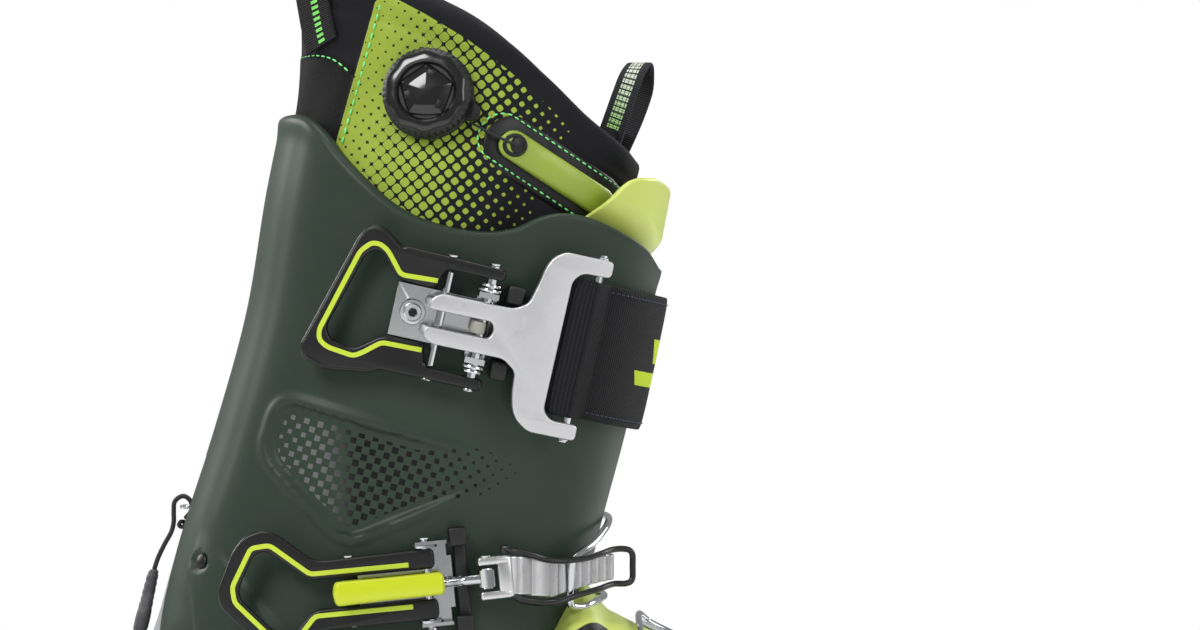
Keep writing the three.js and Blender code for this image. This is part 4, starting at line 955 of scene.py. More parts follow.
def build_cuff():
    """The cuff's wall from the section's superellipse, between its two edges, on a fine grid."""
    def point(u, s, d):
        angle = FLAP[0] + (FLAP[1] - FLAP[0]) * u
        one = angle[:, :1]
        low, high = edge_height(CUFF_BOTTOM, one, 100), edge_height(CUFF_TOP, one, 270)
        z = low + (high - low) * s
        offset = flap_depth(angle) - SHELL_WALL * (1 - d)
        plain = cuff_point(angle, z, offset)
        relief, _ = cuff_relief(plain, smooth(0.6, 1.0, d) * smooth(0.2, 1.2, u * 40))
        lip = 0.6 * smooth(high - 9, high - 1.5, z) * smooth(0.5, 1, d)
        return cuff_point(angle, z, offset + relief + lip)

    obj = wall("cuff_skin", point, 420, 0.011, 170, 10, material=finish_of("cuff"), body="cuff",
               slot="shell_plastic")
    cut_cuff(obj)
    p = layout_points(obj)
    attribute(obj, "panel", cuff_relief(p, 1.0)[1])
    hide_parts("cuff_shell")
    at = cuff_seat(PLUG[0], PLUG[1], 0)
    lathe("cuff_plug", [(0, 0.6), (1.9, 0.6), (2.5, 0.2), (2.7, -0.8), (2.7, -2), (0, -2)], at,
          finish_of("black"), 28, body="cuff", slot="board_plastic")


def cut_cuff(obj):
    """Cuts the ankle's round room, the hinge holes and the walk lever's channel out of the cuff."""
    cutters = []
    profile = [(0, 46), (30, 45.5), (45, 39.4), (56, 32.9), (64, 24.4), (70, 14), (71.9, 0)]
    profile += [(r, -h) for r, h in reversed(profile[:-1])]
    at = Matrix.Translation(Vector(PIVOT))
    cutters.append(lathe("room", profile, at, None, 96))
    cutters.append(lathe("hinge", [(0, 70), (5.4, 70), (5.4, -70), (0, -70)], at, None, 40))
    cutters.append(block("channel", (-12, -9.5, 60), (32, 9.5, 190), 1.2, Matrix.Identity(4), None))
    for cutter in cutters:
        change = obj.modifiers.new("cut", "BOOLEAN")
        change.operation, change.object, change.solver = "DIFFERENCE", cutter, "EXACT"
    apply_modifiers(obj)
    for cutter in cutters:
        bpy.data.objects.remove(cutter)
    obj.data.set_sharp_from_angle(angle=42 * DEG)


def apply_modifiers(obj):
    """Replaces an object's mesh with its evaluated one."""
    ready = obj.evaluated_get(bpy.context.evaluated_depsgraph_get())
    mesh = bpy.data.meshes.new_from_object(ready)
    obj.modifiers.clear()
    obj.data = mesh


# ---- Liner -------------------------------------------------------------------------------
OVERLAY_EDGE = [(60, 255), (65.6, 300.7), (79.4, 349.5), (84, 351.5), (97, 344.5), (112, 335.5),
                (126, 325), (140, 312.5), (152, 300), (166, 288), (178, 262), (170, 250)]
LEATHER_EDGE = [(40, 250), (44, 330.5), (50, 331.2), (58, 332.4), (65, 331), (70, 327.6), (75, 322),
                (64, 298), (60, 250)]
SLIT = 9 * DEG


def liner_masks(p):
    """How far inside the overlay and the rear leather panel each point of the outer side is."""
    overlay = outline_distance(p[..., 0], p[..., 2], OVERLAY_EDGE)
    leather = outline_distance(p[..., 0], p[..., 2], LEATHER_EDGE)
    return overlay, leather


def build_liner():
    """The liner's shaft: a padded wall with a fuller collar above a sewn channel."""
    pad = bpy.context.scene.ski_boot.collar_padding

    def point(u, s, d):
        angle = SLIT + (TURN - 2 * SLIT) * u
        top = edge_height(LINER_TOP, angle[:, :1], 330, liner_point)
        z = 96 + (top - 96) * s
        below = top - z
        puff = pad * smooth(13, 6, below) * np.sqrt(np.maximum(1 - ((below - 5) / 9) ** 2, 0))
        seam = -1.0 * np.exp(-(((below - 14.5) / 1.3) ** 2))
        outside = smooth(0.5, 1, d)
        plain = liner_point(angle, z, 0)
        overlay, leather = liner_masks(plain)
        raised = 0.7 * smooth(0.0, 0.7, overlay) + 0.45 * smooth(0.0, 0.7, leather)
        waves = 0.35 * np.sin(z / 7 + 5 * np.sin(angle)) * np.sin(angle * 9)
        quilt = 0.9 * np.abs(np.sin(z / 17 + 0.6 * np.sin(3 * angle)))
        outer = puff + seam + raised + waves
        inner = -8 - 0.6 * puff - quilt * smooth(12, 22, below)
        narrow = 1 - 0.45 * smooth(-20, -70, z - 170)
        return liner_point(angle, z, (outer * outside + (inner * (1 - outside))) * narrow)

    obj = wall("liner_shaft_cover", point, 330, 0.016, 150, 60, material=finish_of("liner"))
    p = layout_points(obj)
    overlay, leather = liner_masks(p)
    away = np.where(inner_side(p), -5.0, 0)
    attribute(obj, "overlay", np.minimum(overlay, 5) + away)
    attribute(obj, "leather", np.minimum(leather, 5) + away)
    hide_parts("liner_shaft")
    row_point(PIVOT + (0, 0, 43))
    row_point(PIVOT + (0, 0, -6))
    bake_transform(obj)
    build_liner_tongue()
    build_bootie()
    build_seams()


def inner_side(p):
    """True where a point lies nearer the leg than the middle of the liner's wall."""
    middle = middle_of(p[:, 2])
    angle = np.arctan2(p[:, 1], p[:, 0] - middle)
    outer = liner_point(angle, p[:, 2], 0)
    centre = np.stack([middle, 0 * angle], -1)
    reach = np.linalg.norm(outer[:, :2] - centre, axis=1)
    return np.linalg.norm(p[:, :2] - centre, axis=1) < reach - 6.5


def all_leather(obj):
    """Marks a piece as leather with no overlay."""
    for name, value in (("overlay", -5.0), ("leather", 1.0)):
        attribute(obj, name, np.full(len(obj.data.vertices), value))


def build_liner_tongue():
    """The liner's own tongue behind the slit, a crowned pad with a rolled top."""
    def point(u, s, d):
        t = 2 * u - 1
        angle = t * 34 * DEG
        z = 152 + 155.5 * s - 6 * t**2 * smooth(0.6, 1, s)
        crown = 1.2 * (1 - t**2) * smooth(0.5, 1, d) * np.abs(np.sin(z / 19)) ** 0.5
        roll = 1.5 * smooth(0.9, 0.97, s)
        return liner_point(angle, z, -11.6 + (d - 0.5) * (6 + roll) + crown * 0.6)

    obj = wall("liner_tongue_cover", point, 60, 0.018, 110, 60, material=finish_of("liner"),
               body="cuff", slot="liner_textile")
    all_leather(obj)
    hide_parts("liner_tongue")


def smoothed_copy(node, voxel, turns):
    """A copy of a solid remeshed on a grid of voxel millimetres and smoothed, so that its edges round."""
    mesh = NODES[node].data.copy()
    obj = bpy.data.objects.new(node + "_form", mesh)
    bpy.context.scene.collection.objects.link(obj)
    weld = obj.modifiers.new("weld", "WELD")
    weld.merge_threshold = 1e-5
    remesh = obj.modifiers.new("remesh", "REMESH")
    remesh.mode, remesh.voxel_size = "VOXEL", voxel * MM
    ease = obj.modifiers.new("ease", "SMOOTH")
    ease.factor, ease.iterations = 0.5, turns
    apply_modifiers(obj)
    obj.data.materials.clear()
    mesh = obj.data
    bpy.data.objects.remove(obj)
    return mesh


def build_bootie():
    """The liner's foot part, softened from its solid."""
    obj = place(smoothed_copy("liner_foot", 2.0, 14), "liner_foot_cover", finish_of("liner"),
                "shell", "liner_textile")
    all_leather(obj)
    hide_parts("liner_foot")


def seam_line(points, offset, count=60):
    """Points of a smooth line on the liner's outer side."""
    line = catmull(points, count)
    return on_liner(line[:, 0], line[:, 1], offset)


LEATHER_SEAM = [(51.2, 329.4), (55, 330.5), (60, 330.6), (64.5, 329.4), (68, 327.2), (70.8, 324.6)]


def build_seams():
    """Mint stitches along the overlay's edge and the leather panel's top."""
    rows = {
        "overlay_stitches": ([(68.3, 299), (72.3, 313), (77, 330), (82.0, 348.6)], 3.4, 2.4),
        "leather_stitches": (LEATHER_SEAM, 3.0, 2.2),
        "front_stitches": ([(165.6, 297), (168.5, 292), (169.5, 286)], 3.0, 2.2),
    }
    for name, (line, pitch, length) in rows.items():
        path = seam_line(line, 1.15)
        stitches(name, path, (0, -1, 0), pitch, length, 0.42, finish_of("mint"), body="cuff", slot="webbing")


# ---- Dial and lace -----------------------------------------------------------------------
DIAL = (98.6, 316.0)


def build_dial():
    """The lacing dial: a ribbed rubber knob with a five-sided glossy cap, on a base with a spout."""
    at = liner_seat(*DIAL)

    def ribbed(angle, r, h):
        rib = 0.42 * np.abs(np.sin(angle * 21)) ** 0.6
        return r + np.where((r > 14.2) & (h > 5.2) & (h < 9.6), rib, 0)

    base = [(0, 1.7), (15.4, 1.7), (16, 2.3), (16, 4.0), (15.3, 4.7), (0, 4.7)]
    lathe("dial_foot", base, at, finish_of("black"), 64, body="cuff", slot="board_plastic")
    spout = [(8, -9), (17.6, -9.6), (18.6, -5), (15, -1), (8, -1)]
    plate("dial_spout", fillet(spout, 2), [], 1.8, 4.6, 0.6, at, finish_of("black"), body="cuff",
          slot="board_plastic")
    side = [(0, 5.1), (14.4, 5.1), (15.1, 5.6), (15.2, 8.2), (14.4, 9.6), (12.6, 10.7), (11.4, 11.0),
            (10.6, 10.8), (10.0, 9.6), (9.6, 8.9), (0, 8.9)]
    lathe("dial_grip", side, at, finish_of("pad"), 420, ribbed, body="dial_knob", slot="board_plastic")

    def five(angle, r, h):
        """Pentagon with softened corners: part circle, part straight sides."""
        turn = (angle - 17 * DEG + TURN / 10) % (TURN / 5) - TURN / 10
        side = np.cos(TURN / 10) / np.cos(TURN / 10 - np.abs(turn))
        return r * (0.12 + 0.88 * side)

    def scalloped(angle, r, h):
        """Ten shallow finger hollows round the ring's outside."""
        return r * (1 - 0.022 * np.cos(10 * angle) * (r > 12))

    cap = [(0, 11.1), (6.2, 11.1), (6.6, 10.95), (9.0, 10.0), (10.0, 9.4), (10.1, 8.95), (0, 8.95)]
    lathe("dial_cap", cap, at, finish_of("gloss"), 120, five, body="dial_hub", slot="board_plastic")
    ring = [(10.2, 9.2), (10.3, 10.5), (11.0, 11.2), (12.6, 11.1), (13.8, 10.4), (14.2, 9.2)]
    lathe("dial_bezel", ring + [ring[0]], at, finish_of("gloss"), 120, scalloped, body="dial_knob",
          slot="board_plastic")
    for k in range(3):
        turn = Matrix.Rotation((k * 120 + 47) * DEG, 4, "Y")
        block("dial_window_%d" % k, (5.0, -11.0, -1.5), (7.6, -10.3, 1.5), 0.3, at @ turn,
              finish_of("black"), body="dial_hub", slot="board_plastic")
    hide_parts("dial_base")
    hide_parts("dial_knob")
    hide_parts("dial_hub")


LACE_START = [(113, 306.5), (120, 302.6)]


def build_lace():
    """The lime lace guide on its stitched black frame, and the lace from the dial into its eyelet."""
    a, b = np.array([123.2, 301.6]), np.array([158.5, 277.4])
    along = (b - a) / np.linalg.norm(b - a)
    across = np.array([-along[1], along[0]])
    long = np.linalg.norm(b - a)

    def strip(name, start, stop, half, low, high, material, rows):
        def point(u, s, d):
            t = start + (stop - start) * u
            end = np.minimum(t - start, stop - t)
            tip = np.sqrt(np.maximum(1 - (1 - np.clip(end / half, 0, 1)) ** 2, 0.0004))
            q = a + along * t[..., None] + across * ((2 * s - 1) * half * tip)[..., None]
            dome = np.sqrt(np.maximum(1 - (2 * s - 1) ** 2, 0))
            return on_liner(q[..., 0], q[..., 1], low + (high - low) * d * (0.45 + 0.55 * dome))

        return wall(name, point, 70, 0.06, rows, 6, material=material, body="cuff", slot="tongue_plastic")

    strip("guide_frame", -5.2, long + 6, 10.2, 0.3, 1.5, finish_of("black"), 12)
    guide = strip("guide_tube", 0, long + 1, 5.2, 1.6, 4.3, finish_of("guide"), 20)
    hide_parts("lace_guide")
    rim = np.linspace(0, TURN, 25)
    eye = a + along * 5.2
    hole = np.stack([eye[0] + 3.4 * np.cos(rim), eye[1] + 3.4 * np.sin(rim)], -1)
    tube("guide_eyelet", on_liner(hole[:, 0], hole[:, 1], 4.1), 0.75, finish_of("black"), 10,
         body="cuff", slot="board_plastic")
    at = liner_seat(eye[0], eye[1])
    lathe("guide_mouth", [(0, 4.45), (2.4, 4.45), (3.1, 4.1), (3.1, 2.6), (0, 2.6)], at,
          finish_of("black"), 32, body="cuff", slot="board_plastic")
    t = np.linspace(-0.5 * math.pi, 0.5 * math.pi, 14)
    left = a + np.outer(-np.cos(t) * 7.6, along) - np.outer(np.sin(t) * 8.4, across)
    top = a + np.outer(np.linspace(2, long + 2, 20), along) + across * 8.4
    low = a + np.outer(np.linspace(2, long + 2, 20), along) - across * 8.4
    loop = np.concatenate([top[::-1], left, low])
    stitches("guide_stitches", on_liner(loop[:, 0], loop[:, 1], 1.75), (0, -1, 0), 2.7, 1.8, 0.36,
             finish_of("mint"), body="cuff", slot="webbing")
    line = catmull(LACE_START + [tuple(eye)], 24)
    lift = np.linspace(3.0, 4.9, 24)
    lace = tube("lace_cable", on_liner(line[:, 0], line[:, 1], lift), 0.45, finish_of("cord"), 8,
                body="cuff", slot="webbing")
    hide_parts("lace")


# ---- Tongues -----------------------------------------------------------------------------
WINDOW = [(145, 126.4), (153.4, 131.6), (157, 131.8), (161.5, 128.6), (171, 119), (171, 110), (148, 110)]


def build_tongues():
    """The plastic tongue inside the cuff's front and its part over the instep."""
    def upper(u, s, d):
        t = 2 * u - 1
        angle = t * 62 * DEG
        rim = edge_height(CUFF_TOP, angle[:, :1], 262)
        side = np.abs(t[:, :1])
        top = 287.6 - 24 * smooth(0.5, 1, side) ** 2 - 11 * np.maximum(0, 0.42 - side)
        z = 150 + (top - 150) * s
        flare = 9.6 * smooth(rim - 5, rim + 11, z)
        return cuff_point(angle, z, -11.1 + flare - 2.4 * (1 - d))

    obj = wall("tongue_upper_skin", upper, 150, 0.008, 120, 30, material=finish_of("tongue"),
               body="cuff", slot="tongue_plastic")
    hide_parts("tongue_upper")

    def lower(u, s, d):
        x = 141 + 90 * u
        half = (33 - 8 * smooth(0.6, 1, u)) * DEG * 1.35
        rib = 0.5 * smooth(0.6, 0.9, d) * (np.abs(2 * s - 1) > 0.82)
        p = foot_point(x, (2 * s - 1) * half, 0.5 + 2.8 * d + rib)
        rise = smooth(161.5, 151, x) * smooth(138, 149, x)
        p[..., 2] += 8.5 * rise * np.cos((2 * s - 1) * half) ** 2
        return p

    obj = wall("tongue_lower_skin", lower, 130, 0.02, 60, 24, material=finish_of("instep"),
               body="shell", slot="tongue_plastic")
    p = layout_points(obj)
    attribute(obj, "window", outline_distance(p[:, 0], p[:, 2], fillet(WINDOW, 3)))
    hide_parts("tongue_lower")


# ---- Upper buckle ------------------------------------------------------------------------
UPPER_X, UPPER_Z, UPPER_TILT = 116.3, 235.5, 12.5 * DEG
UPPER = cuff_seat(UPPER_X, UPPER_Z, UPPER_TILT)
HINGE_OUT = 7.75
STRAP_BAR = (36.6, -0.6, 0)
UPPER_LEVER = UPPER @ Matrix.Translation((0, -HINGE_OUT, 0)) @ Matrix.Rotation(-8 * DEG, 4, "Z")
UPPER_LINK = UPPER @ Matrix.Translation((0, -HINGE_OUT, 0)) @ Matrix.Rotation(8 * DEG, 4, "Z")
UPPER_OUTLINE = [
    (4.4, 17.4), (4.4, 21.5), (-31.5, 22.2), (-32.6, 21.4), (-40.4, 26.9), (-45.2, 26.9),
    (-48.4, 22.5), (-60.3, -19.5), (-58.4, -24), (-50.5, -26.1), (-34.6, -23.8), (-31.6, -21.8),
    (4.4, -21.4), (4.4, -17.4), (-16.8, -17.4), (-18.2, -9.8), (-32.8, -9.8), (-42, -16.8),
    (-50.5, -15.2), (-52.8, -11.5), (-45, 15.5), (-42, 18.4), (-38.8, 18.2), (-32.2, 10.6),
    (-18.2, 10), (-16.8, 17.4),
]
UPPER_INLAY = [
    (-18.2, 12.8), (-31.2, 12.0), (-37.4, 19.2), (-40.6, 20.8), (-43.6, 20.5), (-46.8, 16.9),
    (-54.8, -13.0), (-54.0, -16.4), (-50.8, -18.2), (-41.2, -19.2), (-38.4, -17.4),
    (-32.6, -12.4), (-18.4, -11.9),
]
TEE = [
    (-20.5, 3.2), (-20.5, 7), (-17, 9.2), (9, 9.2), (13.5, 12), (15.6, 20), (16.6, 25.5), (18.5, 29.5),
    (22.6, 32.2), (40, 32.2), (40, 26.4), (30, 26.2), (27, 23), (27, -23), (30, -26), (40, -26),
    (40, -31.6), (23, -31.6), (18.4, -28.6), (16, -25), (14.6, -19), (14, -12), (9, -8.6),
    (-17, -8.6), (-20.5, -6.6), (-20.5, -2.8), (2.4, -2.8), (3.6, 0.2), (2.4, 3.2),
]


def rounded_line(points, step=0.6):
    """A polyline with its corners rounded, sampled evenly. A far corner added for the rounding is
    dropped again."""
    p = np.asarray(points, float)
    inner = fillet(np.concatenate([p, [[400, 400]]]), 1.6)[6:-12]
    line = np.concatenate([p[:1], inner, p[-1:]])
    far = along_path(line)
    return sample(np.linspace(0, far[-1], max(4, int(far[-1] / step))), far, line)


def inlay(name, points, out, at, body):
    """A bright line let into a lever's face, as a low band."""
    line = rounded_line(points)
    p = into(at, np.stack([line[:, 0], 0 * line[:, 0] - out, line[:, 1]], -1))
    across = np.cross(np.gradient(p, axis=0), np.array(at.to_3x3()) @ np.array([0, -1.0, 0]))
    band(name, p, across, 0.85, 0.5, finish_of("inlay"), body=body, slot="tongue_plastic")


def rivet(name, at, radius, height, body):
    """A domed rivet head: a quarter ellipse turned about its axis."""
    t = np.linspace(0, math.pi / 2, 7)
    dome = [(radius * math.sin(a), height * math.cos(a)) for a in t]
    lathe(name, dome + [(radius, -0.4), (0, -0.4)], at, finish_of("chrome"), 28, body=body, slot="steel")


def pin_heads(name, at, x, y, ends, radius, height, body):
    """A rivet head on each end of a pin that stands along Z in the frame at."""
    for side, z in zip(("top", "low"), ends):
        turn = Matrix.Rotation(math.copysign(90, z) * DEG, 4, "X")
        rivet(name + side, at @ Matrix.Translation((x, y, z)) @ turn, radius, height, body)


def hex_screw(name, at, radius, body):
    """A socket screw on a washer, with a dark six-sided socket."""
    r = radius
    profile = [(0, 1.9), (r * 0.32, 1.9), (r * 0.36, 2.3), (r * 0.62, 2.3), (r * 0.7, 2.0), (r * 0.72, 0.9),
               (r * 0.74, 0.75), (r * 0.95, 0.7), (r, 0.45), (r, 0), (0, 0)]
    screw = lathe(name, profile, at, finish_of("steel"), 48, body=body, slot="steel")
    # Painted shade: a black hexagon laid over the socket's hollow in place of the shade inside it.
    socket = [(0, 2.36), (r * 0.3, 2.36), (r * 0.34, 2.2), (r * 0.34, 1.4), (0, 1.4)]
    lathe(name + "_socket", socket, at, finish_of("black"), 6, body=body, slot="steel")
    return screw


def build_upper_buckle():
    """The wide upper lever with its inlay, the tee link that carries the strap, and their seat."""
    lever = plate("upper_lever_body", fillet(UPPER_OUTLINE, 2.4), [], -2.25, 2.25, 1.0, UPPER_LEVER,
                  finish_of("lever"), body="upper_lever", slot="lever_alloy")
    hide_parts("upper_lever")
    inlay("upper_inlay", UPPER_INLAY, 2.3, UPPER_LEVER, "upper_lever")
    ridge = [(-33.5, 21.0), (-40.4, 25.6), (-44.8, 25.5), (-47.2, 22.2), (-59, -19.2), (-57.6, -22.8),
             (-50.6, -24.8), (-35, -22.4)]
    line = rounded_line(ridge)
    p = np.stack([line[:, 0], 0 * line[:, 0] - 2.0, line[:, 1]], -1)
    tube("upper_ridge", p, 0.55, finish_of("lever"), 10, at=UPPER_LEVER, body="upper_lever",
         slot="lever_alloy")
    tee = plate("tee_plate", fillet(TEE, 1.9), [], 2.3, 4.7, 0.7, UPPER_LINK, finish_of("blasted"),
                body="upper_link", slot="link_alloy")
    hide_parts("tee_link")
    hooks = [((-20.4, -2.6, low), (-16.9, 4.4, high)) for low, high in ((3.4, 6.8), (-6.4, -3.0))]
    blocks("tee_hook", hooks, 0.6, UPPER_LINK, "blasted", "upper_link", "link_alloy")
    ears = [((33.6, -2.7, low), (39.8, 1.8, high)) for low, high in ((26.7, 32.0), (-31.4, -26.3))]
    blocks("tee_ear", ears, 0.8, UPPER_LINK, "blasted", "upper_link", "link_alloy")
    pin_heads("strap_rivet_", UPPER_LINK, STRAP_BAR[0], STRAP_BAR[1], (32.4, -31.8), 1.9, 0.9, "upper_link")
    pin_heads("upper_hinge_head_", UPPER, 0, -HINGE_OUT, (22.6, -21.7), 2.1, 0.9, "cuff")
    pin_heads("upper_pin_head_", UPPER_LEVER, -15, 0, (22.3, -21.4), 2.1, 0.9, "upper_lever")
    upright = Matrix.Rotation(-90 * DEG, 4, "X")
    for k, v in enumerate((13.6, 15.2, -13.6, -15.2)):
        at = UPPER @ Matrix.Translation((0, -HINGE_OUT, v)) @ upright
        edge = 4.3 - 0.7 * (k % 2)
        ring = [(2.0, -0.45), (edge, -0.45), (edge + 0.2, 0), (edge, 0.45), (2.0, 0.45), (2.0, -0.45)]
        lathe("upper_washer_%d" % k, ring, at, finish_of("chrome"), 40, body="cuff", slot="steel")
    screw = hex_screw("upper_screw", UPPER @ Matrix.Translation((-24.3, -2.5, 0)), 4.5, "cuff")
    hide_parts("upper_base_screw")
    profile = [(1.5, -2.1), (2.4, -2.1), (2.7, -1.7), (2.7, 1.7), (2.4, 2.1), (1.5, 2.1), (1.5, -2.1)]
    lathe("slot_roller", profile, UPPER @ Matrix.Translation((-1.5, -9.6, 0.2)) @ upright,
          finish_of("roller"), 32, body="cuff", slot="board_plastic")
    pad_tops = [((6.2, -8.0, 10.2), (12.2, -0.8, 16.6)), ((6.2, -8.0, -16.6), (12.2, -0.8, -10.2)),
                ((6.6, -2.0, -10.9), (11.8, -0.5, 10.9))]
    pad = blocks("upper_bumper", pad_tops, 1.0, UPPER, "pad", "cuff", "pad_rubber")
    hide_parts("upper_buckle_pads")


# ---- Strap -------------------------------------------------------------------------------
STRAP_HALF = 24.5


def strap_point(angle, across, offset):
    """The point of the cuff's surface at an angle in the strap's tilted plane, moved out by offset."""
    angle, across = np.broadcast_arrays(np.asarray(angle, float), np.asarray(across, float))
    z = np.full(angle.shape, UPPER_Z)
    for _ in range(14):
        x = cuff_point(angle, z, offset)[..., 0]
        z = UPPER_Z - (x - UPPER_X) * math.tan(UPPER_TILT) + across
    return cuff_point(angle, z, offset)


def build_strap():
    """The webbing strap: from its loop round the link's bar, over the cuff's front, to the inner
    side, as a band whose section is a rounded rectangle."""
    angle = np.linspace(-50 * DEG, 96 * DEG, 150)
    lift = 3 + 3.6 * smooth(-16 * DEG, -52 * DEG, angle) - 0.4 * smooth(18 * DEG, 40 * DEG, angle)
    t = np.linspace(0, TURN, 25)[:-1]
    w = signed_power(np.cos(t), 0.3)
    h = signed_power(np.sin(t), 0.6)
    bow = 0.25 * np.sin(angle * 7)
    offsets = (lift + 1 + bow)[:, None] + h[None] * 1.05
    rings = strap_point(angle[:, None] + 0 * w[None], w[None] * STRAP_HALF + 0 * angle[:, None], offsets)
    axes = np.array(UPPER_LINK.to_3x3())
    ahead, up, out = axes[:, 0], axes[:, 2], -axes[:, 1]
    edge = np.array(UPPER_LINK @ Vector(STRAP_BAR)) + up * (w * STRAP_HALF)[:, None] * 0.985
    low = edge + out * (2.4 + h * 1.05)[:, None]
    lead = [low * (1 - k / 5) + rings[0] * k / 5 for k in range(1, 5)]
    r = (2.6 + h)[:, None]
    wrap = [edge + ahead * r * math.cos(phi) * 2.6 + out * r * math.sin(phi)
            for phi in np.linspace(230, 90, 9) * DEG]
    rings = np.concatenate([wrap, lead, rings])
    turned = np.concatenate([np.full(len(rings) - len(angle), -60.0), angle / DEG])
    layers = {"along": along_path(rings.mean(1))[:, None], "across": w * STRAP_HALF, "turn": turned[:, None]}
    obj = skin("strap_band", rings, finish_of("strap"), layers, False)
    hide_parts("strap_free", "strap_fixed")
    bind = dict(start=row_point((168.0, 30.0, 222.0)), end=row_point((172.0, -20.0, 222.0)))
    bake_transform(obj)
    for sign in (1, -1):
        line = strap_point(angle, sign * (STRAP_HALF - 2.6), lift + 1 + bow + 1.12)
        row = stitches("strap_stitches_%s" % ("top" if sign > 0 else "low"), line, outward_of(line), 2.3,
                       1.7, 0.22, finish_of("navy"), slot="webbing")
        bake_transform(row)
    end_line = strap_point(np.full(30, 93 * DEG), np.linspace(-21, 21, 30), 4.8)
    stitches("strap_end_stitches", end_line, (0, 1, 0), 2.3, 1.7, 0.22, finish_of("navy"), body="cuff",
             slot="webbing")
    at = Matrix.Translation(Vector(strap_point(88 * DEG, 0.0, 4.0)))
    hex_screw("strap_anchor", at @ Matrix.Rotation(math.pi, 4, "Z"), 6.0, "cuff")


def outward_of(line):
    """Directions out of the leg along a line."""
    middle = middle_of(line[:, 2])
    d = np.stack([line[:, 0] - middle, line[:, 1], 0 * middle], -1)
    return d / np.linalg.norm(d, axis=1)[:, None]


# ---- Cuff buckle -------------------------------------------------------------------------
LOWER = cuff_seat(97.7, 146.2, -5.5 * DEG)
LOWER_OUT, LOWER_ARM = 6.2, 26.9
LOWER_LEVER = LOWER @ Matrix.Translation((0, -LOWER_OUT, 0)) @ Matrix.Rotation(-5 * DEG, 4, "Z")
CHAIN = LOWER @ Matrix.Translation((
    -LOWER_ARM * math.cos(5 * DEG), LOWER_ARM * math.sin(5 * DEG) - LOWER_OUT, 0,
)) @ Matrix.Rotation(6 * DEG, 4, "Z")
LOWER_OUTLINE = [
    (2.9, 12.4), (-36, 11.6), (-39.5, 12.4), (-51, 22.4), (-56, 24.2), (-62, 22.6), (-66.5, 18),
    (-73.3, 4.2), (-72.6, -1.5), (-56, -21), (-50, -22.6), (-44, -19.6), (-37, -12.6), (2.9, -12.4),
    (2.9, -5.2), (-40, -5.2), (-48.5, -13.4), (-52.5, -14), (-65.5, 0.8), (-65.7, 4.6),
    (-59.5, 15.8), (-55, 16.8), (-41, 5.2), (2.9, 5.2),
]
LOWER_INLAY = [
    (-6.2, 7.3), (-40.6, 7.3), (-53.6, 18.6), (-60.2, 18.2), (-67.9, 5.4), (-67.6, 0.0),
    (-53.6, -16.2), (-47.8, -15.6), (-40.2, -7.4), (-6, -7.3),
]
# The keeper wire: X, how far above the ladder's line, and how far out from it.
KEEPER = [(117.5, 8.6, 1.2), (121, 10, 1.4), (127, 8.6, 1.8), (132, 7.4, 2.4), (137, 6.4, 3.0),
          (143, 5.6, 4.0), (150, 5.3, 4.8), (155, 5.7, 4.2), (160, 6.2, 3.2), (165.0, 6.1, 2.6),
          (167.2, 4.6, 2.6), (167.4, 0, 2.6), (167.2, -4.6, 2.6), (165.0, -6.0, 2.6),
          (160, -5.9, 3.2), (155, -6.4, 4.2), (150, -6.8, 4.8), (146, -7.3, 4.4), (141, -8.4, 3.6),
          (136, -9.0, 2.8), (130, -8.8, 2.0), (127.5, -7.2, 1.4)]
# The bail: angle round the cuff, height, and how far out from the cuff.
BAIL = [(24, 168.5, 2.8), (8, 167.6, 2.4), (-6, 165.6, 2.6), (-16, 162.6, 3.4), (-25, 159.4, 5.0),
        (-33, 156.8, 6.6), (-37.6, 154.4, 7.5), (-38, 151.6, 7.6), (-36.4, 144.5, 7.6),
        (-35.4, 141, 7.2), (-33, 137.6, 6.8), (-27, 136.9, 6.8), (-20, 138, 6.8), (-6, 139.6, 6.7),
        (8, 140.2, 6.4), (24, 140.4, 5.4)]


def ladder_line():
    """The line of the ladder from the eye bolt's clevis round the cuff's front."""
    start = [np.array(CHAIN @ Vector((x, -9 + x / 60, 0))) for x in (52.4, 56.5)]
    turns = np.array([-45, -40, -34, -28, -22.5, -17]) * DEG
    off = np.array([5, 5, 5, 6, 7.5, 9])
    x = cuff_point(turns, 150.0, off)[:, 0]
    z = 146.0 + 5.2 * np.clip((x - 120) / 42, 0, 1) ** 1.6
    return catmull([*start, *cuff_point(turns, z, off)], 260)


def beside(line, u, out, up):
    """Points beside the ladder's line: out from it and up from it."""
    tangent = np.gradient(line, axis=0)
    outside = np.stack([tangent[:, 1], -tangent[:, 0], 0 * tangent[:, 0]], -1)
    outside /= np.linalg.norm(outside, axis=1)[:, None]
    k = np.clip(np.asarray(u) * (len(line) - 1), 0, len(line) - 1)
    i = np.arange(len(line))
    at = sample(k, i, line) + sample(k, i, outside) * np.asarray(out)[..., None]
    at[..., 2] += up
    return at


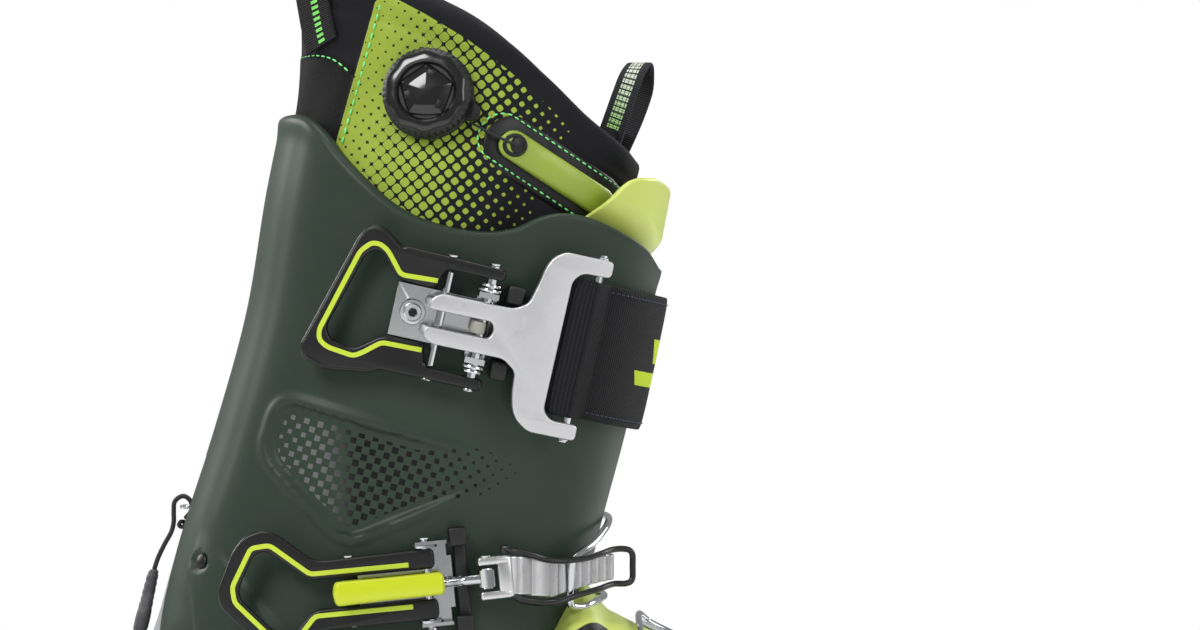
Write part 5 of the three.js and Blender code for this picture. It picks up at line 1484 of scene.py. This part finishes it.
def build_cuff_buckle():
    """The second lever, its adjuster sleeve and eye bolt, and the ladder with its keeper and bail."""
    lever = plate("cuff_lever_body", fillet(LOWER_OUTLINE, 2.4), [], -2.1, 2.1, 0.95, LOWER_LEVER,
                  finish_of("lever"), body="cuff_lever", slot="lever_alloy")
    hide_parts("cuff_lever")
    inlay("cuff_inlay", LOWER_INLAY, 2.15, LOWER_LEVER, "cuff_lever")

    # The sleeve is a rounded bar, fuller at its free end.
    u = np.linspace(0, 1, 90)[:, None]
    t = TURN * (np.arange(40) / 40)[None]
    tip = np.sqrt(np.maximum(1 - np.clip(1 - np.minimum(u, 1 - u) * 22, 0, 1) ** 2, 0.02))
    out = -9.1 - 2.45 * tip * signed_power(np.sin(t), 0.62)
    up = (4.0 + 0.25 * smooth(0.5, 0.0, u)) * tip * signed_power(np.cos(t), 0.55)
    rings = into(CHAIN, np.stack([-8 + 39.5 * u + 0 * up, out, up], -1))
    obj = skin("sleeve_bar", rings, finish_of("sleeve"), body="cuff_link", slot="sleeve_plastic")
    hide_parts("adjuster_sleeve")
    block("sleeve_foot", (-3.6, -8, -3.9), (3.6, 1.2, 3.9), 0.8, CHAIN, finish_of("sleeve"),
          body="cuff_link", slot="sleeve_plastic")
    thread = CHAIN @ Matrix.Translation((0, -9, 0)) @ Matrix.Rotation(90 * DEG, 4, "Z")
    turns = np.linspace(0, 1, 60)
    rod = [(0, 30.6)] + [(1.62 + 0.14 * math.sin(k * 90), 30.6 + 6.6 * k) for k in turns]
    rod += [(1.6, 37.6), (1.95, 38.6), (2.0, 43.8), (0, 43.8)]
    bolt = lathe("eye_rod", rod, thread, finish_of("chrome"), 28, body="cuff_link", slot="steel")
    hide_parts("eye_bolt")
    ring = [(1.5, -3.5), (2.6, -3.5), (3.1, -3.0), (3.1, 3.0), (2.6, 3.5), (1.5, 3.5), (1.5, -3.5)]
    upright = Matrix.Rotation(-90 * DEG, 4, "X")
    lathe("eye_head", ring, CHAIN @ Matrix.Translation((46.4, -9, 0)) @ upright, finish_of("chrome"), 36,
          body="cuff_link", slot="steel")
    cheeks = [((43.4, -11.5, low), (54.6, -6.5, high)) for low, high in ((4.5, 7.5), (-7.5, -4.5))]
    blocks("clevis", cheeks, 0.9, CHAIN, "alloy", "cuff_link", "link_alloy")
    block("clevis_neck", (50.2, -11.4, -7.4), (55.4, -6.6, 7.4), 1.0, CHAIN, finish_of("alloy"),
          body="cuff_link", slot="link_alloy")
    axle = CHAIN @ Matrix.Translation((46.4, -9, 7.5)) @ Matrix.Rotation(90 * DEG, 4, "X")
    rivet("clevis_head", axle, 1.9, 0.7, "cuff_link")
    line = ladder_line()

    def band_point(u, s, d):
        half = 7.2 - 2.4 * smooth(0.15, 0.9, u)
        tooth = (u * 11 - 0.35) % 1
        flute = 2.0 * np.abs(np.sin(math.pi * tooth)) ** 0.75
        flute = np.where(u > 0.14, flute, 1.5)
        ends = smooth(0.5, 0.46, np.abs(s - 0.5))
        out = -1.5 + (2.1 + flute * ends) * d
        return beside(line, u, out, 0) + np.stack([0 * u, 0 * u, (2 * s - 1) * half], -1)

    rack = wall("ladder_rack", band_point, 400, 0.05, 26, 6, material=finish_of("alloy"),
                body="cuff_link", slot="link_alloy")
    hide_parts("ladder")
    x, up, out = np.array(KEEPER).T
    near = np.minimum(x, line[-1, 0])
    keeper = beside(line, np.interp(near, line[:, 0], np.linspace(0, 1, len(line))), out, up)
    keeper += (x - near)[:, None] * np.array([1.0, 0.5, 0])
    wire = tube("keeper_wire", keeper, 1.1, finish_of("wire"), 12, 160, body="cuff_link",
                slot="lever_alloy")
    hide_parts("ladder_keeper")
    bail = tube("bail_wire", [cuff_point(a * DEG, z, o) for a, z, o in BAIL], 1.3,
                finish_of("chrome"), 14, 140, body="cuff_bail", slot="steel")
    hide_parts("bail")
    screw = hex_screw("cuff_screw", LOWER @ Matrix.Translation((-17, -2.3, 0)), 3.7, "cuff")
    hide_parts("cuff_base_screw")
    for sign in (1, -1):
        turn = Matrix.Rotation(sign * 90 * DEG, 4, "X")
        name = "top" if sign > 0 else "low"
        at = LOWER @ Matrix.Translation((0, -LOWER_OUT, sign * 15.7)) @ turn
        rivet("cuff_hinge_head_" + name, at, 2.0, 0.8, "cuff")
        at = LOWER_LEVER @ Matrix.Translation((-LOWER_ARM, 0, sign * 12.0)) @ turn
        rivet("cuff_pin_head_" + name, at, 1.9, 0.8, "cuff_lever")
        ring = [(1.9, -0.4), (4.2, -0.4), (4.2, 0.4), (1.9, 0.4), (1.9, -0.4)]
        at = LOWER @ Matrix.Translation((0, -LOWER_OUT, sign * 13.1)) @ upright
        lathe("cuff_washer_" + name, ring, at, finish_of("chrome"), 36, body="cuff", slot="steel")
    pads = [((9.9, -3.3, -17.8), (14.4, -1.3, 17.8)), ((8.5, -7.5, 12.1), (14.7, -2.3, 18.7)),
            ((8.5, -7.5, -18.7), (14.7, -2.3, -12.1))]
    pad = blocks("cuff_bumper", pads, 0.9, LOWER, "pad", "cuff", "pad_rubber")
    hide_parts("cuff_buckle_pads")


# ---- Walk lever and pull cord ------------------------------------------------------------
CORD = [
    (10.9, 0, 167.6), (12.6, 0, 169.9), (12.5, 0, 173.4), (9.8, 0, 175.2), (6.9, 0, 173.3),
    (6.5, 0, 169.4), (6.5, 0, 166), (5.6, 0, 162.4), (3.2, 0, 158), (1, 0, 153.4), (-0.3, 0, 149.6),
]
CORD_DIAMETER = 1.7
CORD_KNOT = (9.4, 0, 165.2)


def build_cord():
    """The pull cord from the staple to its tab, the knot, and the tapered rubber tab."""
    path = catmull(CORD, 70)
    cord = tube("pull_cord_rope", path, CORD_DIAMETER / 2, finish_of("cord"), 14, body="walk_lever",
                slot="webbing")
    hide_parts("pull_cord")
    far = np.linspace(0, TURN * 1.6, 60)
    knot = np.stack([
        CORD_KNOT[0] + 1.0 * np.cos(far) * (1 + 0.2 * np.sin(2 * far)),
        CORD_KNOT[1] + 0.9 * np.sin(2 * far),
        CORD_KNOT[2] + 1.0 * np.sin(far),
    ], -1)
    tied = tube("pull_cord_knot", knot, 0.75, finish_of("cord"), 12, body="walk_lever", slot="webbing")
    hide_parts("cord_knot")
    z = np.array([149.2, 148.6, 147.4, 144, 138, 132, 128.6, 126.8, 125.9, 125.6])
    r = np.array([1.1, 1.7, 2.05, 2.2, 2.4, 2.7, 2.65, 2.2, 1.4, 0.5])
    t = np.arange(32) / 32 * TURN
    height, size = sample(np.linspace(0, 9, 60), np.arange(10), np.stack([z, r], -1)).T[..., None]
    groove = 1 - 0.07 * (np.abs(((height / 2.4) % 1) - 0.5) < 0.16) * (height > 131)
    x = -0.5 - (149.2 - height) * 0.23 + size * groove * np.cos(t)
    y = 1.15 * size * groove * np.sin(t)
    tab = skin("pull_tab_grip", np.stack([x, y, height + 0 * x], -1), finish_of("tab"),
               body="walk_lever", slot="sole_rubber")
    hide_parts("pull_tab")
    route = [row_point(q) for q in path]
    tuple(route[0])


# ---- Pull loops --------------------------------------------------------------------------
FRONT_LOOP = [(160.8, -10.5, 301), (164.0, -12.5, 310), (166.8, -13, 318), (169.3, -11.5, 324.6),
              (171.4, -6, 328.0), (172.4, 1, 328.2), (172.8, 8, 325.4), (172.4, 11.5, 319.5),
              (169.6, 11.5, 311), (165.8, 10, 302), (161.5, 8, 293)]


def build_loops():
    """The liner's two pull loops, as webbing bands carried along their paths: one leg on the outer
    side, an arch across, and one leg on the inner side."""
    line = catmull(FRONT_LOOP, 130)
    front = band("front_loop_band", line, (0.96, -0.27, 0), 4.5, 1.3, finish_of("front_loop"),
                 body="cuff", slot="webbing")
    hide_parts("front_pull_loop")
    leg = on_liner([61.4, 60.4, 59.2, 57.6, 56.2], [334, 338, 344, 353, 362], 1.25)
    other = leg[::-1] * np.array([1, -1, 1])
    arch = [(54.6, -18, 371.5), (53.8, -8, 376.5), (53.8, 8, 376.5), (54.6, 18, 371.5)]
    line = catmull(np.concatenate([leg, arch, other]), 200)
    lean = np.clip(line[:, 1] / 18, -1, 1) * 0.7
    across = np.stack([np.sqrt(1 - lean**2), lean, 0 * lean], -1)
    rear = band("rear_loop_band", line, across, 8, 1.4, finish_of("rear_loop"), body="cuff",
                slot="webbing")
    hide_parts("rear_pull_loop")


# ---- Lower shell -------------------------------------------------------------------------
def build_shell():
    """The foot shell, its solid's edges rounded by a fine remesh."""
    obj = place(smoothed_copy("lower_shell", 1.58, 7), "lower_shell_skin", finish_of("shell"), "shell",
                "shell_plastic")
    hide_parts("lower_shell")


def foot_frame(x, turn, skew):
    """The frame of a buckle on the foot: X up and over the instep, -Y out of the shell."""
    here, ahead, along = (Vector(foot_point(*q)) for q in ((x, turn), (x, turn + 0.05), (x + 2, turn)))
    over = (ahead - here).normalized()
    out = (along - here).cross(over).normalized()
    x_axis = over.copy()
    x_axis.rotate(Matrix.Rotation(skew, 3, out))
    z_axis = x_axis.cross(-out).normalized()
    turned = Matrix((x_axis, -out, z_axis)).transposed().to_4x4()
    return Matrix.Translation(here) @ turned


SHELL_OUTLINE = [
    (4, 10), (-26, 9.4), (-34, 14.5), (-44, 15), (-50, 10), (-52, 0), (-50, -10), (-44, -15),
    (-34, -14.5), (-26, -9.4), (4, -10), (4, -5.6), (-28, -5.4), (-36, -9.5), (-42, -9.5),
    (-45, -5), (-45, 5), (-42, 9.5), (-36, 9.5), (-28, 5.4), (4, 5.6),
]


def build_shell_buckles():
    """The two buckles over the foot: a folded lever, and a wire bail on its catch."""
    for name, x, turn, skew, fold, catch_turn, catch_x in [
        ("instep", 176, -70 * DEG, 0.3, 9 * DEG, 22 * DEG, 181),
        ("toe", 226, -72 * DEG, 0.08, 15 * DEG, 18 * DEG, 228),
    ]:
        seat_at = foot_frame(x, turn, skew)
        lever_at = seat_at @ Matrix.Translation((0, -8.6, 0)) @ Matrix.Rotation(-6 * DEG, 4, "Z")
        lever = plate(name + "_lever_body", fillet(SHELL_OUTLINE, 2.2), [], -2.1, 2.1, 0.9, lever_at,
                      finish_of("lever"), (-27, fold), body=name + "_lever", slot="lever_alloy")
        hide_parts(name + "_lever")

        def strand(side):
            u = np.array([0.18, 0.4, 0.6, 0.8, 0.97, 1.0])
            half = (3.2 + 5 * smooth(0.1, 0.8, u)) * np.array([1, 1, 1, 1, 0.85, 0.5]) * side
            lift = 11.6 - 6 * smooth(0, 0.4, u) + 2.9 * smooth(0.7, 0.9, u)
            return foot_point(x + (catch_x - x) * u + half, turn + (catch_turn - turn) * u, lift)

        def start(side):
            local = [(-19, 0, side * 9.4), (-19, 0, side * 5.2), (-18, -2, side * 3.4),
                     (-13, -4, side * 3.2), (0, -4.9, side * 3.2)]
            return np.array([lever_at @ Vector(q) for q in local])

        route = np.concatenate([start(-1), strand(1), strand(-1)[::-1], start(1)[::-1]])
        wire = tube(name + "_bail_wire", route, 1.2, finish_of("chrome"), 12, 220, body=name + "_bail",
                    slot="steel")
        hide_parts(name + "_bail")


# ---- Pieces that keep their solids -------------------------------------------------------
KEPT = {
    "chrome": ["upper_buckle_base", "cuff_buckle_base", "upper_hinge_pin", "cuff_hinge_pin",
               "upper_link_pin", "strap_bar", "walk_staple", "instep_base", "toe_base", "bail_bracket",
               "toe_insert_outer", "toe_insert_inner", "heel_insert_screw", "walk_pin"],
    "steel": ["heel_insert", "lock_plate", "pivot_bolt_outer", "pivot_bolt_inner"],
    "blasted": ["instep_catch", "toe_catch", "walk_lever"],
    "rubber": ["toe_sole", "heel_sole"],
    "black": ["boot_board"],
}


def build_kept():
    """Bevels and finishes for the solids whose shape is already right."""
    for finish, names in KEPT.items():
        for name in names:
            obj = NODES[name]
            obj.data.materials.clear()
            obj.data.materials.append(finish_of(finish))
            weld = obj.modifiers.new("weld", "WELD")
            weld.merge_threshold = 1e-5
            edge = obj.modifiers.new("edge", "BEVEL")
            edge.width = (0.8 if finish == "rubber" else 0.3) * MM
            edge.segments = 2
            edge.limit_method = "ANGLE"
            edge.angle_limit = 40 * DEG


# ---- Add-on ------------------------------------------------------------------------------
def swatch(name, description, default):
    """A colour setting."""
    return FloatVectorProperty(name=name, description=description, default=default, size=3, min=0,
                               max=1, subtype="COLOR")


class BootSettings(bpy.types.PropertyGroup):
    """The sizes, lights and colours that a user may change."""

    camera_distance: FloatProperty(
        name="Camera distance", description="From the boot's middle to the camera", default=2.5,
        min=0.5, unit="LENGTH")
    ambient: FloatProperty(
        name="Ambient", description="Strength of the white surroundings", default=0.3, min=0)
    light: FloatProperty(name="Lamps", description="Strength of all lamps", default=1.0, min=0)
    cuff_colour: swatch("Cuff", "Green plastic of the cuff and foot", GREEN)
    tongue_colour: swatch("Tongue", "Plastic of both tongues", LIME)
    overlay_colour: swatch("Liner print", "Printed squares and lace guide", OVERLAY)
    inlay_colour: swatch("Lever inlay", "Line set into the levers", INLAY)
    sleeve_colour: swatch("Adjuster sleeve", "Sleeve of the cuff buckle", SLEEVE)
    thread_colour: swatch("Thread", "Stitches on the liner", MINT)
    collar_padding: FloatProperty(
        name="Collar padding", description="How far the liner's collar swells, in millimetres",
        default=1.7, min=0, max=3)


def piece_operator(key, label, build, note):
    """One operator class that builds a group of pieces."""
    def execute(self, context):
        build()
        return {"FINISHED"}

    fields = {"__doc__": note, "bl_idname": "ski_boot." + key, "bl_label": label, "execute": execute}
    return type("SKI_BOOT_OT_" + key, (bpy.types.Operator,), fields)


STEPS = [
    ("stage", "Camera, lights and floor", build_stage, "Adds the camera, the lamps and the floor"),
    ("cord", "Pull cord", build_cord, "Builds the walk lever's cord with its knot and tab"),
    ("cuff", "Cuff", build_cuff, "Builds the cuff with its panel and plug"),
    ("liner", "Liner", build_liner, "Builds the padded liner and its seams"),
    ("dial", "Lacing dial", build_dial, "Builds the dial on the liner"),
    ("lace", "Lace", build_lace, "Builds the lace and its guide"),
    ("tongues", "Tongues", build_tongues, "Builds the two plastic tongues"),
    ("upper_buckle", "Upper buckle", build_upper_buckle, "Builds the strap's buckle"),
    ("strap", "Strap", build_strap, "Builds the strap round the cuff"),
    ("cuff_buckle", "Cuff buckle", build_cuff_buckle, "Builds the second buckle and its ladder"),
    ("loops", "Pull loops", build_loops, "Builds the liner's pull loops"),
    ("shell", "Lower shell", build_shell, "Builds the foot shell"),
    ("shell_buckles", "Shell buckles", build_shell_buckles, "Builds the buckles over the foot"),
    ("kept", "Other pieces", build_kept, "Finishes the pieces that keep their solids"),
]
OPERATORS = [piece_operator(*step) for step in STEPS]


class SKI_BOOT_PT_panel(bpy.types.Panel):
    """Lists the boot's settings and pieces."""

    bl_label = "Ski Boot"
    bl_idname = "SKI_BOOT_PT_panel"
    bl_space_type = "VIEW_3D"
    bl_region_type = "UI"
    bl_category = "Ski Boot"

    def draw(self, context):
        settings = context.scene.ski_boot
        for field in BootSettings.__annotations__:
            self.layout.prop(settings, field)
        for operator in OPERATORS:
            self.layout.operator(operator.bl_idname)


CLASSES = [BootSettings, *OPERATORS, SKI_BOOT_PT_panel]


def register():
    for cls in CLASSES:
        bpy.utils.register_class(cls)
    bpy.types.Scene.ski_boot = PointerProperty(type=BootSettings)


def unregister():
    del bpy.types.Scene.ski_boot
    for cls in reversed(CLASSES):
        bpy.utils.unregister_class(cls)


def main():
    """Builds every piece in order and writes the sizes of the solids and of the whole."""
    register()
    for key, *_ in STEPS:
        getattr(bpy.ops.ski_boot, key)()


if __name__ == "__main__":
    main()
